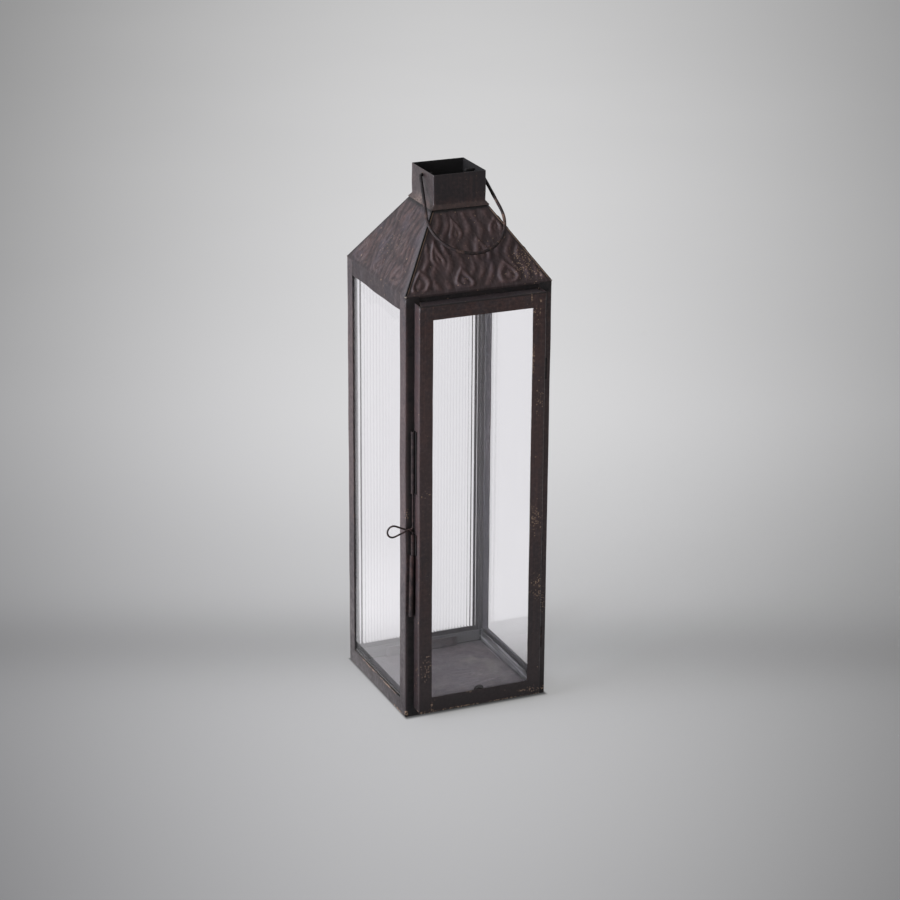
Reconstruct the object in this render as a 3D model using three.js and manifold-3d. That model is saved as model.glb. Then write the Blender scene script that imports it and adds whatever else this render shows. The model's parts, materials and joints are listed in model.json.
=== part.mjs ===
import * as THREE from 'three';
import * as BufferGeometryUtils from 'three/addons/utils/BufferGeometryUtils.js';
import Module from 'manifold-3d';

const wasm = await Module();
wasm.setup();

// A tall square lantern of folded sheet iron with clear and reeded glass panes.
// Millimetres, +Z up. The origin is the centre of the underside, +X runs to the
// right along the door, and the door is on the -Y side.

// Body
const bodySide = 170;
const overallHeight = 600;
const eaveHeight = 487;
const sheet = 0.9;
const foldRadius = 1.3;
const postLeg = 15.5;
const baseRailHeight = 17;

// Roof and chimney
const skirtDrop = 18.5;
const frontLip = 2.6;
const eaveEase = 1.2;
const hipGap = 0.45;
const chimneySide = 61;
const chimneyRise = 34.5;
const chimneyFlange = 5.5;

// Fits
const seam = 0.1;
const cornerEase = 0.2;
const glassGap = 0.3;
const runningGap = 0.3;

// Panes and the angle strips that hold them
const glassThickness = 2;
const glassChannel = 7;
const bottomStripHeight = 13.5;
const headStripBelowEave = 9;
const headStripDrop = 12;
const headerDrop = 20;
const headerFlange = 8;
const reededThickness = 4;
const reedDepth = 0.8;
const reedCount = 40;
const backClipWidth = 88;
const backClipHeight = 12;

// Door
const doorGap = 0.4;
const doorDepth = 14.6;
const doorBottom = 8;
const doorBelowEave = 7.5;
const doorLeftReveal = 10;
const doorRightReveal = 13;
const stileWidth = 15.5;
const doorTopRailHeight = 16.5;
const doorBottomRailHeight = 18;
const doorFlangeClip = 4.5;
const doorClipWidth = 11;
const doorClipFoot = 8;
const doorClipShow = 4;
const doorClipReach = 11;
const doorToeRadius = 4;

// Rolled eyes of the hinges and the latch
const leafThickness = 0.8;
const leafLength = 5.5;
const eyeRadius = 2.3;
const hingePinRadius = 1;
const hingeEyeLength = 24;
const hingeHeadRadius = 1.8;
const hingeHeadHeight = 1.2;
const hingePinTail = 1.5;
const lowerHingeInset = 74;
const upperHingeInset = 79.5;

// Latch
const boltRadius = 1;
const guideBoreRadius = 1.5;
const latchHeight = 195;
const lowerGuideLength = 23.6;
const guideSpacing = 48;
const upperGuideLength = 70.8;
const keeperRadius = 2.8;
const keeperBoreRadius = 2.15;
const keeperLength = 71.7;
const keeperOffset = 0.8;
const keeperLean = THREE.MathUtils.degToRad(1);
const boltTipInset = 0.3;
const boltTopReach = 31;
const boltRootLift = 5.4;
const boltRootGap = 2.3;
const boltBendRadius = 1.6;
const pullRadius = 6.6;
const pullReach = 23.2;
const pullLift = 1.2;

// Carrying handle
const handleRadius = 1.75;
const handleHoleRadius = 2.25;
const handlePivotDrop = 6;
const handleRestAngle = THREE.MathUtils.degToRad(46);
const handleRingRadius = 43.9;
const handleRingReach = 58.6;
const handleRingShift = 1.8;
const handleLeftStandoff = 0.75;
const handleRightStandoff = 3.35;
const handleHookReach = 10;
const handleBendRadius = 2.5;

// Derived places
const half = bodySide / 2;
const innerFace = half - sheet;
const legEnd = half - postLeg;
const chimneyHalf = chimneySide / 2;
const chimneyFoot = overallHeight - chimneyRise;
const roofSlope = Math.atan2(chimneyFoot - eaveHeight, half - chimneyHalf);
const postTop = eaveHeight - eaveEase;
const headStripTop = eaveHeight - headStripBelowEave;
const stripNear = half - sheet - glassChannel - sheet;
const stripFar = innerFace - seam;
const stripFloor = sheet + seam;
const paneOuter = innerFace - glassGap;
const paneBottom = stripFloor + sheet + seam;
const paneTop = headStripTop - sheet - glassGap;
const headerInner = stripFar - sheet;
const reededBack = stripNear - glassGap;
const reededFront = reededBack - reededThickness;
const reededHalf = stripNear - glassGap;
const backClipNear = reededFront - glassGap - sheet;
const doorLeft = -half + doorLeftReveal;
const doorRight = half - doorRightReveal;
const doorMiddle = (doorLeft + doorRight) / 2;
const doorTop = eaveHeight - doorBelowEave;
const doorBack = half + doorGap;
const doorFront = doorBack + doorDepth;
const doorGlassFront = doorFront - sheet - glassGap;
const doorGlassBack = doorGlassFront - glassThickness;
const doorClipFace = doorGlassBack - glassGap;
const hingeX = doorRight + runningGap + eyeRadius;
const hingeY = -(half + runningGap + eyeRadius);
const lowerHingeHeight = doorBottom + lowerHingeInset;
const upperHingeHeight = doorTop - upperHingeInset;
const latchX = doorLeft - seam - eyeRadius;
const latchY = -(half + seam + keeperRadius);
const lowerGuideTop = latchHeight + lowerGuideLength;
const upperGuideBottom = lowerGuideTop + guideSpacing;
const boltRootHeight = lowerGuideTop + boltRootLift;
const pivotHeight = overallHeight - handlePivotDrop;

// Materials
const iron = new THREE.MeshStandardMaterial({ color: 0x3a2f2c, roughness: 0.62, metalness: 0.55 });
const roofIron = new THREE.MeshStandardMaterial({ color: 0x3f3634, roughness: 0.58, metalness: 0.55 });
const wireIron = new THREE.MeshStandardMaterial({ color: 0x2b2422, roughness: 0.5, metalness: 0.65 });
const trayIron = new THREE.MeshStandardMaterial({ color: 0x57504f, roughness: 0.75, metalness: 0.35 });
const clearGlass = new THREE.MeshStandardMaterial({
  color: 0xe8eeee,
  roughness: 0.05,
  metalness: 0,
  transparent: true,
  opacity: 0.25,
});
const reededGlass = new THREE.MeshStandardMaterial({
  color: 0xe4eaec,
  roughness: 0.12,
  metalness: 0,
  transparent: true,
  opacity: 0.45,
});

// Closed solids for cuts and joins
function toSolid(geometry) {
  const bare = geometry.clone();
  bare.deleteAttribute('normal');
  bare.deleteAttribute('uv');
  const merged = BufferGeometryUtils.mergeVertices(bare, 1e-5);
  const mesh = new wasm.Mesh({
    numProp: 3,
    vertProperties: new Float32Array(merged.attributes.position.array),
    triVerts: new Uint32Array(merged.index.array),
  });
  return new wasm.Manifold(mesh);
}

function toGeometry(solid) {
  const mesh = solid.getMesh();
  const geometry = new THREE.BufferGeometry();
  const corners = new Float32Array((mesh.vertProperties.length / mesh.numProp) * 3);
  for (let i = 0; i < corners.length / 3; i++) {
    for (let axis = 0; axis < 3; axis++) {
      corners[3 * i + axis] = mesh.vertProperties[mesh.numProp * i + axis];
    }
  }
  geometry.setAttribute('position', new THREE.BufferAttribute(corners, 3));
  geometry.setIndex(new THREE.BufferAttribute(new Uint32Array(mesh.triVerts), 1));
  geometry.computeVertexNormals();
  return geometry;
}

function cut(geometry, cutters) {
  let solid = toSolid(geometry);
  for (const cutter of cutters) {
    solid = solid.subtract(toSolid(cutter));
  }
  return toGeometry(solid);
}

function box(xMin, xMax, yMin, yMax, zMin, zMax) {
  const geometry = new THREE.BoxGeometry(xMax - xMin, yMax - yMin, zMax - zMin);
  geometry.translate((xMin + xMax) / 2, (yMin + yMax) / 2, (zMin + zMax) / 2);
  return geometry;
}

// Outline of a bent sheet seen end on. The points lie on one face of the sheet
// and the metal is on their left. Every fold is an arc about one centre.
function foldedSection(face, thickness = sheet, outsideRadius = foldRadius) {
  const centreRadius = outsideRadius - thickness / 2;
  const arcSteps = 3;
  const directions = [];
  for (let i = 0; i + 1 < face.length; i++) {
    const step = new THREE.Vector2(face[i + 1][0] - face[i][0], face[i + 1][1] - face[i][1]);
    directions.push(step.normalize());
  }
  const leftOf = (direction) => new THREE.Vector2(-direction.y, direction.x);
  const stations = [];
  for (let i = 0; i < face.length; i++) {
    const before = directions[Math.max(i - 1, 0)];
    const after = directions[Math.min(i, directions.length - 1)];
    const turn = Math.atan2(before.cross(after), before.dot(after));
    const mitre = leftOf(before).add(leftOf(after)).normalize();
    const centre = new THREE.Vector2(face[i][0], face[i][1]);
    centre.addScaledVector(mitre, thickness / 2 / Math.cos(turn / 2));
    if (Math.abs(turn) < 1e-6) {
      stations.push({ point: centre, normal: leftOf(before) });
      continue;
    }
    const side = Math.sign(turn);
    const setback = centreRadius * Math.tan(Math.abs(turn) / 2);
    const arcStart = centre.clone().addScaledVector(before, -setback);
    const arcCentre = arcStart.clone().addScaledVector(leftOf(before), side * centreRadius);
    for (let k = 0; k <= arcSteps; k++) {
      const normal = leftOf(before).rotateAround(new THREE.Vector2(), (turn * k) / arcSteps);
      const point = arcCentre.clone().addScaledVector(normal, -side * centreRadius);
      stations.push({ point, normal });
    }
  }
  const near = stations.map((s) => s.point.clone().addScaledVector(s.normal, -thickness / 2));
  const far = stations.map((s) => s.point.clone().addScaledVector(s.normal, thickness / 2));
  return new THREE.Shape([...near, ...far.reverse()]);
}

// A prism standing on the plan, between two heights
function upright(shape, zMin, zMax, curveSegments = 12) {
  const options = { depth: zMax - zMin, bevelEnabled: false, curveSegments };
  const geometry = new THREE.ExtrudeGeometry(shape, options);
  geometry.translate(0, 0, zMin);
  return geometry;
}

// A prism whose section is drawn as distance out from the middle and height. It
// runs along the wall and is made for the +X wall.
function alongWall(shape, from, to) {
  const geometry = new THREE.ExtrudeGeometry(shape, { depth: to - from, bevelEnabled: false });
  geometry.rotateX(Math.PI / 2);
  geometry.translate(0, to, 0);
  return geometry;
}

// The four walls as whole quarter turns from +X
const wallTurn = { right: 0, back: 1, left: 2, front: 3 };

// Quarter turns are exact swaps of the two plan coordinates
function turnTo(geometry, wall) {
  const position = geometry.attributes.position;
  for (let turn = 0; turn < wallTurn[wall]; turn++) {
    for (let i = 0; i < position.count; i++) {
      position.setXY(i, -position.getY(i), position.getX(i));
    }
  }
  geometry.computeVertexNormals();
  return geometry;
}

// A round wire that follows lines and arcs drawn in one plane
class WireLine extends THREE.Curve {
  constructor(path, arcStep, frame) {
    super();
    this.stations = [];
    path.curves.forEach((piece, index) => {
      const isArc = piece instanceof THREE.EllipseCurve;
      const sweep = isArc ? Math.abs(piece.aEndAngle - piece.aStartAngle) : 0;
      const steps = isArc ? Math.max(2, Math.round(sweep / arcStep)) : 1;
      for (let k = index === 0 ? 0 : 1; k <= steps; k++) {
        const point = piece.getPoint(k / steps);
        const tangent = piece.getTangent(k / steps);
        this.stations.push({ point: frame(point), tangent: frame(tangent).sub(frame(new THREE.Vector2())) });
      }
    });
  }

  station(u) {
    return this.stations[Math.round(u * (this.stations.length - 1))];
  }

  getPointAt(u, target = new THREE.Vector3()) {
    return target.copy(this.station(u).point);
  }

  getTangentAt(u, target = new THREE.Vector3()) {
    return target.copy(this.station(u).tangent).normalize();
  }
}

// Straight runs through the corners with a bend of one radius at each of them
function bentThrough(path, corners, radius) {
  for (let i = 0; i < corners.length; i++) {
    const corner = corners[i];
    const next = corners[i + 1];
    if (!next) {
      path.lineTo(corner.x, corner.y);
      continue;
    }
    const before = corner.clone().sub(path.currentPoint).normalize();
    const after = next.clone().sub(corner).normalize();
    const turn = Math.atan2(before.cross(after), before.dot(after));
    const setback = radius * Math.tan(Math.abs(turn) / 2);
    const start = corner.clone().addScaledVector(before, -setback);
    const side = Math.sign(turn);
    const centre = start.clone().add(new THREE.Vector2(-before.y, before.x).multiplyScalar(side * radius));
    const startAngle = Math.atan2(start.y - centre.y, start.x - centre.x);
    path.lineTo(start.x, start.y);
    path.absarc(centre.x, centre.y, radius, startAngle, startAngle + turn, turn < 0);
  }
}

// The point where a line from outside touches a circle, on its left or right
function touchPoint(from, centre, radius, side) {
  const toCentre = centre.clone().sub(from);
  const reach = Math.sqrt(toCentre.lengthSq() - radius * radius);
  const swing = side * Math.asin(radius / toCentre.length());
  return from.clone().add(toCentre.normalize().rotateAround(new THREE.Vector2(), swing).multiplyScalar(reach));
}

function wire(path, radius, arcStep, frame, sides = 10) {
  const line = new WireLine(path, arcStep, frame);
  const section = new THREE.Shape();
  section.absarc(0, 0, radius, 0, 2 * Math.PI);
  return new THREE.ExtrudeGeometry(section, {
    steps: line.stations.length - 1,
    extrudePath: line,
    curveSegments: sides / 2,
  });
}

// Corner posts: an L of folded sheet
function cornerPost(wall) {
  const section = foldedSection([[half, legEnd], [half, half], [legEnd, half]]);
  return turnTo(upright(section, 0, postTop), wall);
}

// Floor and bottom rails
function floorPlate() {
  const edge = innerFace - seam - cornerEase;
  return box(-edge, edge, -edge, edge, 0, sheet);
}

function baseRail(wall) {
  const section = foldedSection([[half, 0], [half, baseRailHeight]]);
  const reach = legEnd - seam;
  return turnTo(alongWall(section, -reach, reach), wall);
}

// One roof slope with the strip that hangs from its eave between the posts
function roofSheet(wall, drop) {
  const section = foldedSection([
    [half, eaveHeight - drop],
    [half, eaveHeight],
    [chimneyHalf, chimneyFoot],
  ]);
  const blank = alongWall(section, -half, half);
  const cutters = [];
  const past = bodySide;
  const skirtReach = legEnd - seam;
  for (const side of [-1, 1]) {
    const hip = new THREE.Shape([
      new THREE.Vector2(0, -side * hipGap),
      new THREE.Vector2(past, side * (past - hipGap)),
      new THREE.Vector2(-past, side * (past - hipGap)),
      new THREE.Vector2(-past, -side * hipGap),
    ]);
    cutters.push(upright(hip, 0, overallHeight));
    const ends = [side * skirtReach, side * past].sort((a, b) => a - b);
    cutters.push(box(0, past, ends[0], ends[1], 0, postTop + seam));
  }
  return turnTo(cut(blank, cutters), wall);
}

// Chimney: a square tube that flares over the top of the roof
function chimney() {
  const above = (sheet + seam) / Math.cos(roofSlope);
  const flangeOut = chimneyFlange * Math.cos(roofSlope);
  const flangeDown = chimneyFlange * Math.sin(roofSlope);
  const section = foldedSection([
    [chimneyHalf + flangeOut, chimneyFoot + above - flangeDown],
    [chimneyHalf, chimneyFoot + above],
    [chimneyHalf, overallHeight],
  ]);
  const profile = section.getPoints().map((p) => new THREE.Vector2(p.x * Math.SQRT2, p.y));
  profile.push(profile[0].clone());
  const tube = new THREE.LatheGeometry(profile, 4, Math.PI / 4);
  tube.rotateX(Math.PI / 2);
  const drill = new THREE.CylinderGeometry(handleHoleRadius, handleHoleRadius, 2 * chimneySide, 24);
  drill.rotateZ(Math.PI / 2);
  drill.translate(0, 0, pivotHeight);
  return cut(tube, [drill]);
}

// Angle strip with its upright on the inner side and its foot towards the wall
function bottomStrip(wall, near, far, height, from, to) {
  const section = foldedSection([[near, stripFloor + height], [near, stripFloor], [far, stripFloor]]);
  return turnTo(alongWall(section, from, to), wall);
}

function headStrip(wall, near, far, drop, from, to) {
  const section = foldedSection([[far, headStripTop], [near, headStripTop], [near, headStripTop - drop]]);
  return turnTo(alongWall(section, from, to), wall);
}

// Header that closes the gap between the door and the eave, turned in at the top
function header() {
  const section = foldedSection([
    [stripFar, postTop - headerDrop],
    [stripFar, postTop],
    [stripFar - headerFlange, postTop],
  ]);
  const reach = stripFar - cornerEase;
  return turnTo(alongWall(section, -reach, reach), 'front');
}

// Panes
function sidePane(wall) {
  const front = headerInner - glassGap;
  const back = innerFace - glassGap;
  const ends = wall === 'right' ? [-front, back] : [-back, front];
  const pane = box(paneOuter - glassThickness, paneOuter, ends[0], ends[1], paneBottom, paneTop);
  return turnTo(pane, wall);
}

// The reeds stand on the inner face and run from the bottom to the top
function reededPane() {
  const pitch = (2 * reededHalf) / reedCount;
  const reedRadius = (pitch * pitch) / (8 * reedDepth) + reedDepth / 2;
  const halfSweep = Math.asin(pitch / 2 / reedRadius);
  const valley = reededFront + reedDepth;
  const outline = new THREE.Shape();
  outline.moveTo(reededHalf, reededBack);
  outline.lineTo(-reededHalf, reededBack);
  outline.lineTo(-reededHalf, valley);
  for (let i = 0; i < reedCount; i++) {
    const x = -reededHalf + (i + 0.5) * pitch;
    const down = -Math.PI / 2;
    outline.absarc(x, reededFront + reedRadius, reedRadius, down - halfSweep, down + halfSweep, false);
  }
  return upright(outline, paneBottom, paneTop, 2);
}

// Door frame
function doorStile(side) {
  const left = [
    [doorLeft, -doorBack],
    [doorLeft, -doorFront],
    [doorLeft + stileWidth, -doorFront],
  ];
  const right = [
    [doorRight - stileWidth, -doorFront],
    [doorRight, -doorFront],
    [doorRight, -doorBack],
  ];
  const stile = upright(foldedSection(side === 'left' ? left : right), doorBottom, doorTop);
  return side === 'left' ? roundToe(stile) : stile;
}

// The lower outer corner of the left stile is worn round
function roundToe(stile) {
  const toe = new THREE.Shape();
  toe.moveTo(doorLeft - foldRadius, doorBottom - foldRadius);
  toe.lineTo(doorLeft + doorToeRadius, doorBottom - foldRadius);
  toe.lineTo(doorLeft + doorToeRadius, doorBottom);
  toe.absarc(doorLeft + doorToeRadius, doorBottom + doorToeRadius, doorToeRadius, -Math.PI / 2, -Math.PI, true);
  toe.lineTo(doorLeft - foldRadius, doorBottom + doorToeRadius);
  const cutter = new THREE.ExtrudeGeometry(toe, {
    depth: doorDepth + 2 * foldRadius,
    bevelEnabled: false,
    curveSegments: 3,
  });
  cutter.rotateX(Math.PI / 2);
  cutter.translate(0, -doorBack + foldRadius, 0);
  return cut(stile, [cutter]);
}

// A rail shows between the stiles, and its flange runs on behind their faces
function doorRail(end) {
  const top = [
    [doorFront, doorTop - doorTopRailHeight],
    [doorFront, doorTop],
    [doorBack, doorTop],
  ];
  const bottom = [
    [doorBack, doorBottom],
    [doorFront, doorBottom],
    [doorFront, doorBottom + doorBottomRailHeight],
  ];
  const from = doorLeft + sheet + seam;
  const to = doorRight - sheet - seam;
  const rail = turnTo(alongWall(foldedSection(end === 'top' ? top : bottom), from, to), 'front');
  const leftSeam = doorLeft + stileWidth + seam;
  const rightSeam = doorRight - stileWidth - seam;
  const behindStile = -doorFront + sheet + seam;
  const front = -doorFront - foldRadius;
  const past = foldRadius;
  const low = doorBottom - past;
  const high = doorTop + past;
  return cut(rail, [
    box(from - past, leftSeam, front, behindStile, low, high),
    box(rightSeam, to + past, front, behindStile, low, high),
    upright(flangeClip(from, 1), low, high),
    upright(flangeClip(to, -1), low, high),
  ]);
}

// The flange's ends are snipped aslant, so that they clear the folds of the stiles
function flangeClip(end, inward) {
  const outside = end - inward * foldRadius;
  const near = new THREE.Vector2(outside, -doorFront);
  const slantStart = new THREE.Vector2(end, -doorFront);
  const slantEnd = new THREE.Vector2(end + inward * doorFlangeClip, -doorBack);
  const past = new THREE.Vector2(slantEnd.x, -doorBack + foldRadius);
  const far = new THREE.Vector2(outside, past.y);
  const corners = [near, slantStart, slantEnd, past, far];
  return new THREE.Shape(inward > 0 ? corners : corners.reverse());
}

function doorPane() {
  const side = sheet + seam + glassGap;
  const bottom = doorBottom + sheet + seam;
  const top = doorTop - sheet - glassGap;
  return box(doorLeft + side, doorRight - side, -doorGlassFront, -doorGlassBack, bottom, top);
}

// Bent clips inside the door frame that hold the pane against its face
function doorEndClip(end) {
  const floor = doorBottom + sheet + seam;
  const ceiling = doorTop - sheet - seam;
  const shown = doorBottom + doorBottomRailHeight + doorClipShow;
  const back = doorClipFace - doorClipFoot;
  const bottom = [[back, floor], [doorClipFace, floor], [doorClipFace, shown]];
  const top = [
    [doorClipFace, ceiling - doorClipReach],
    [doorClipFace, ceiling],
    [back, ceiling],
  ];
  const section = foldedSection(end === 'top' ? top : bottom);
  const from = doorMiddle - doorClipWidth / 2;
  return turnTo(alongWall(section, from, from + doorClipWidth), 'front');
}

function doorSideClip(side) {
  const edge = sheet + seam;
  const left = [
    [doorLeft + edge + doorClipReach, -doorClipFace],
    [doorLeft + edge, -doorClipFace],
    [doorLeft + edge, -doorClipFace + doorClipFoot],
  ];
  const right = [
    [doorRight - edge, -doorClipFace + doorClipFoot],
    [doorRight - edge, -doorClipFace],
    [doorRight - edge - doorClipReach, -doorClipFace],
  ];
  const middle = (doorBottom + doorTop) / 2;
  const face = side === 'left' ? left.reverse() : right.reverse();
  return upright(foldedSection(face), middle - doorClipWidth / 2, middle + doorClipWidth / 2);
}

// A rolled eye with its leaf. The leaf lies on the +X side and runs towards -Y
// before the section is turned about the eye.
function rolledEye(x, y, turn, mirror, bore, radius, zMin, length) {
  const leafAngle = Math.acos((radius - leafThickness) / radius);
  const section = new THREE.Shape();
  section.moveTo(radius, 0);
  section.absarc(0, 0, radius, 0, 2 * Math.PI - leafAngle, false);
  section.lineTo(radius - leafThickness, -leafLength);
  section.lineTo(radius, -leafLength);
  section.lineTo(radius, 0);
  const hole = new THREE.Path();
  hole.absarc(0, 0, bore, 0, 2 * Math.PI, true);
  section.holes.push(hole);
  const eye = upright(section, 0, length, 8);
  if (mirror) {
    eye.rotateX(Math.PI);
    eye.translate(0, 0, length);
  }
  eye.rotateZ(turn);
  eye.translate(x, y, zMin);
  return eye;
}

const quarter = Math.PI / 2;

// The leaf is on the back of the eye, along the face of a post
function postEye(x, y, towards, bore, radius, zMin, length) {
  return rolledEye(x, y, quarter, towards < 0, bore, radius, zMin, length);
}

// The leaf is on the side of the eye, along the door's edge
function doorEye(x, y, doorSide, bore, radius, zMin, length) {
  return doorSide > 0
    ? rolledEye(x, y, 0, false, bore, radius, zMin, length)
    : rolledEye(x, y, Math.PI, true, bore, radius, zMin, length);
}

const hingeBore = hingePinRadius + runningGap;

function hingePin(height) {
  const head = height + hingeEyeLength + runningGap * 2;
  const foot = height - hingeEyeLength - hingePinTail;
  const profile = [
    [0, foot],
    [hingePinRadius, foot],
    [hingePinRadius, head],
    [hingeHeadRadius, head],
    [hingeHeadRadius, head + hingeHeadHeight / 2],
    [hingePinRadius, head + hingeHeadHeight],
    [0, head + hingeHeadHeight],
  ].map(([r, z]) => new THREE.Vector2(r, z));
  const pin = new THREE.LatheGeometry(profile, 12);
  pin.rotateX(quarter);
  pin.translate(hingeX, hingeY, 0);
  return pin;
}

// The keeper leans a little to the left below its mouth
function latchKeeper() {
  const keeper = postEye(0, latchY, -1, keeperBoreRadius, keeperRadius, -keeperLength, keeperLength);
  keeper.rotateY(keeperLean);
  keeper.translate(latchX - keeperOffset, 0, latchHeight - runningGap);
  return keeper;
}

// Latch bolt: one wire with a long pull loop bent into its middle
function latchBolt() {
  const tip = latchHeight + boltTipInset;
  const top = upperGuideBottom + boltTopReach;
  const lowRoot = new THREE.Vector2(latchX, boltRootHeight - boltRootGap / 2);
  const highRoot = new THREE.Vector2(latchX, boltRootHeight + boltRootGap / 2);
  const eye = new THREE.Vector2(latchX - pullReach, boltRootHeight + pullLift);
  const lowTouch = touchPoint(lowRoot, eye, pullRadius, 1);
  const highTouch = touchPoint(highRoot, eye, pullRadius, -1);
  const angleOf = (point) => Math.atan2(point.y - eye.y, point.x - eye.x);
  const path = new THREE.Path();
  path.moveTo(latchX, tip);
  bentThrough(path, [lowRoot, lowTouch], boltBendRadius);
  path.absarc(eye.x, eye.y, pullRadius, angleOf(lowTouch), angleOf(highTouch) - 2 * Math.PI, true);
  bentThrough(path, [highRoot, new THREE.Vector2(latchX, top)], boltBendRadius);
  const frame = (p) => new THREE.Vector3(p.x, latchY, p.y);
  return wire(path, boltRadius, Math.PI / 9, frame, 8);
}

// Carrying handle: a ring of wire whose ends turn in through the chimney walls
function handle() {
  const left = new THREE.Vector2(-(chimneyHalf + handleLeftStandoff + handleRadius), 0);
  const right = new THREE.Vector2(chimneyHalf + handleRightStandoff + handleRadius, 0);
  const centre = new THREE.Vector2(handleRingShift, handleRingReach);
  const leftTouch = touchPoint(left, centre, handleRingRadius, 1);
  const rightTouch = touchPoint(right, centre, handleRingRadius, -1);
  const angleOf = (point) => Math.atan2(point.y - centre.y, point.x - centre.x);
  const tip = chimneyHalf - handleHookReach;
  const path = new THREE.Path();
  path.moveTo(-tip, 0);
  bentThrough(path, [left, leftTouch], handleBendRadius);
  const startAngle = angleOf(leftTouch) < 0 ? angleOf(leftTouch) + 2 * Math.PI : angleOf(leftTouch);
  path.absarc(centre.x, centre.y, handleRingRadius, startAngle, angleOf(rightTouch), true);
  bentThrough(path, [right, new THREE.Vector2(tip, 0)], handleBendRadius);
  const out = Math.sin(handleRestAngle);
  const down = Math.cos(handleRestAngle);
  const frame = (p) => new THREE.Vector3(p.x, -p.y * out, pivotHeight - p.y * down);
  return wire(path, handleRadius, Math.PI / 20, frame, 10);
}

const lantern = new THREE.Group();

function add(name, geometry, material) {
  const mesh = new THREE.Mesh(geometry, material);
  mesh.name = name;
  lantern.add(mesh);
}

// Frame
add('floor_plate', floorPlate(), trayIron);
for (const wall of ['front', 'back', 'left', 'right']) {
  add(`base_rail_${wall}`, baseRail(wall), iron);
}
const postCorners = { back_right: 'right', back_left: 'back', front_left: 'left', front_right: 'front' };
for (const [corner, wall] of Object.entries(postCorners)) {
  add(`post_${corner}`, cornerPost(wall), iron);
}
add('header_front', header(), iron);

// Roof
for (const wall of ['front', 'back', 'left', 'right']) {
  add(`roof_${wall}`, roofSheet(wall, wall === 'front' ? frontLip : skirtDrop), roofIron);
}
add('chimney', chimney(), roofIron);

// Strips and clips that hold the fixed panes
const sideStripBack = stripNear - seam;
const backStripReach = paneOuter - glassThickness - glassGap;
const headStripFront = headerInner - seam;
for (const wall of ['left', 'right']) {
  const span = (front, back) => (wall === 'right' ? [-front, back] : [-back, front]);
  const low = span(stripFar, sideStripBack);
  const high = span(headStripFront, sideStripBack);
  const bottom = bottomStrip(wall, stripNear, stripFar, bottomStripHeight, low[0], low[1]);
  const head = headStrip(wall, stripNear, stripFar, headStripDrop, high[0], high[1]);
  add(`glass_strip_bottom_${wall}`, bottom, trayIron);
  add(`glass_strip_head_${wall}`, head, trayIron);
}
add(
  'glass_strip_bottom_back',
  bottomStrip('back', stripNear, stripFar, bottomStripHeight, -backStripReach, backStripReach),
  trayIron,
);
add(
  'glass_strip_head_back',
  headStrip('back', stripNear, stripFar, headStripDrop, -backStripReach, backStripReach),
  trayIron,
);
const clipFar = stripNear - seam;
const clipReach = backClipWidth / 2;
add(
  'glass_clip_back_bottom',
  bottomStrip('back', backClipNear, clipFar, backClipHeight, -clipReach, clipReach),
  trayIron,
);
add(
  'glass_clip_back_head',
  headStrip('back', backClipNear, clipFar, backClipHeight, -clipReach, clipReach),
  trayIron,
);

// Fixed panes
add('glass_left', sidePane('left'), clearGlass);
add('glass_right', sidePane('right'), clearGlass);
add('glass_back_reeded', reededPane(), reededGlass);

// Door
add('door_stile_left', doorStile('left'), iron);
add('door_stile_right', doorStile('right'), iron);
add('door_rail_top', doorRail('top'), iron);
add('door_rail_bottom', doorRail('bottom'), iron);
add('door_glass', doorPane(), clearGlass);
add('door_clip_bottom', doorEndClip('bottom'), iron);
add('door_clip_top', doorEndClip('top'), iron);
add('door_clip_left', doorSideClip('left'), iron);
add('door_clip_right', doorSideClip('right'), iron);

// Hinges: the lower eye is on the post, the upper one on the door
for (const [name, height] of [['lower', lowerHingeHeight], ['upper', upperHingeHeight]]) {
  const low = height - hingeEyeLength;
  const high = height + runningGap;
  add(`hinge_eye_post_${name}`, postEye(hingeX, hingeY, 1, hingeBore, eyeRadius, low, hingeEyeLength), iron);
  add(`hinge_eye_door_${name}`, doorEye(hingeX, hingeY, -1, hingeBore, eyeRadius, high, hingeEyeLength), iron);
  add(`hinge_pin_${name}`, hingePin(height), wireIron);
}

// Latch: two guides on the door and a keeper on the post below them
add(
  'latch_guide_upper',
  doorEye(latchX, latchY, 1, guideBoreRadius, eyeRadius, upperGuideBottom, upperGuideLength),
  iron,
);
add(
  'latch_guide_lower',
  doorEye(latchX, latchY, 1, guideBoreRadius, eyeRadius, latchHeight, lowerGuideLength),
  iron,
);
add('latch_keeper', latchKeeper(), iron);
add('latch_bolt', latchBolt(), wireIron);

add('handle', handle(), wireIron);

export default lantern;
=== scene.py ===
import json
import math

import bmesh
import bpy
import numpy as np
from mathutils import Matrix, Vector, noise


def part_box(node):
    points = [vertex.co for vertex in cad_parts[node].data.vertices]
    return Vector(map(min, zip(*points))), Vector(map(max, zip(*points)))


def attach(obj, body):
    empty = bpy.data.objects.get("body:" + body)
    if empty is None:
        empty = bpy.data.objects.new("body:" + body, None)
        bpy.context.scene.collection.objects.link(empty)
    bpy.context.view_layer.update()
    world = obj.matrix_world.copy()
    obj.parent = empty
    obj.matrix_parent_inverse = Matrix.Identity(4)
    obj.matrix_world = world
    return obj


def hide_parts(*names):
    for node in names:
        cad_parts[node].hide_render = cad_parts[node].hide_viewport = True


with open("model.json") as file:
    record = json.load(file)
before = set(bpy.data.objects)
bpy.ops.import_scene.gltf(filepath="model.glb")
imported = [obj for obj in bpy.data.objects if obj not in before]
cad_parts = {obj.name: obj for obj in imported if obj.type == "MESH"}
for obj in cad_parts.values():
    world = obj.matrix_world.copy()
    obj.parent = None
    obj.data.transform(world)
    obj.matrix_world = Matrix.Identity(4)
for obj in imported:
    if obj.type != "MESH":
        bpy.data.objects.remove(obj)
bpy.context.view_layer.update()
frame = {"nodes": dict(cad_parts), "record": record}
nodes = frame["nodes"]
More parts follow.
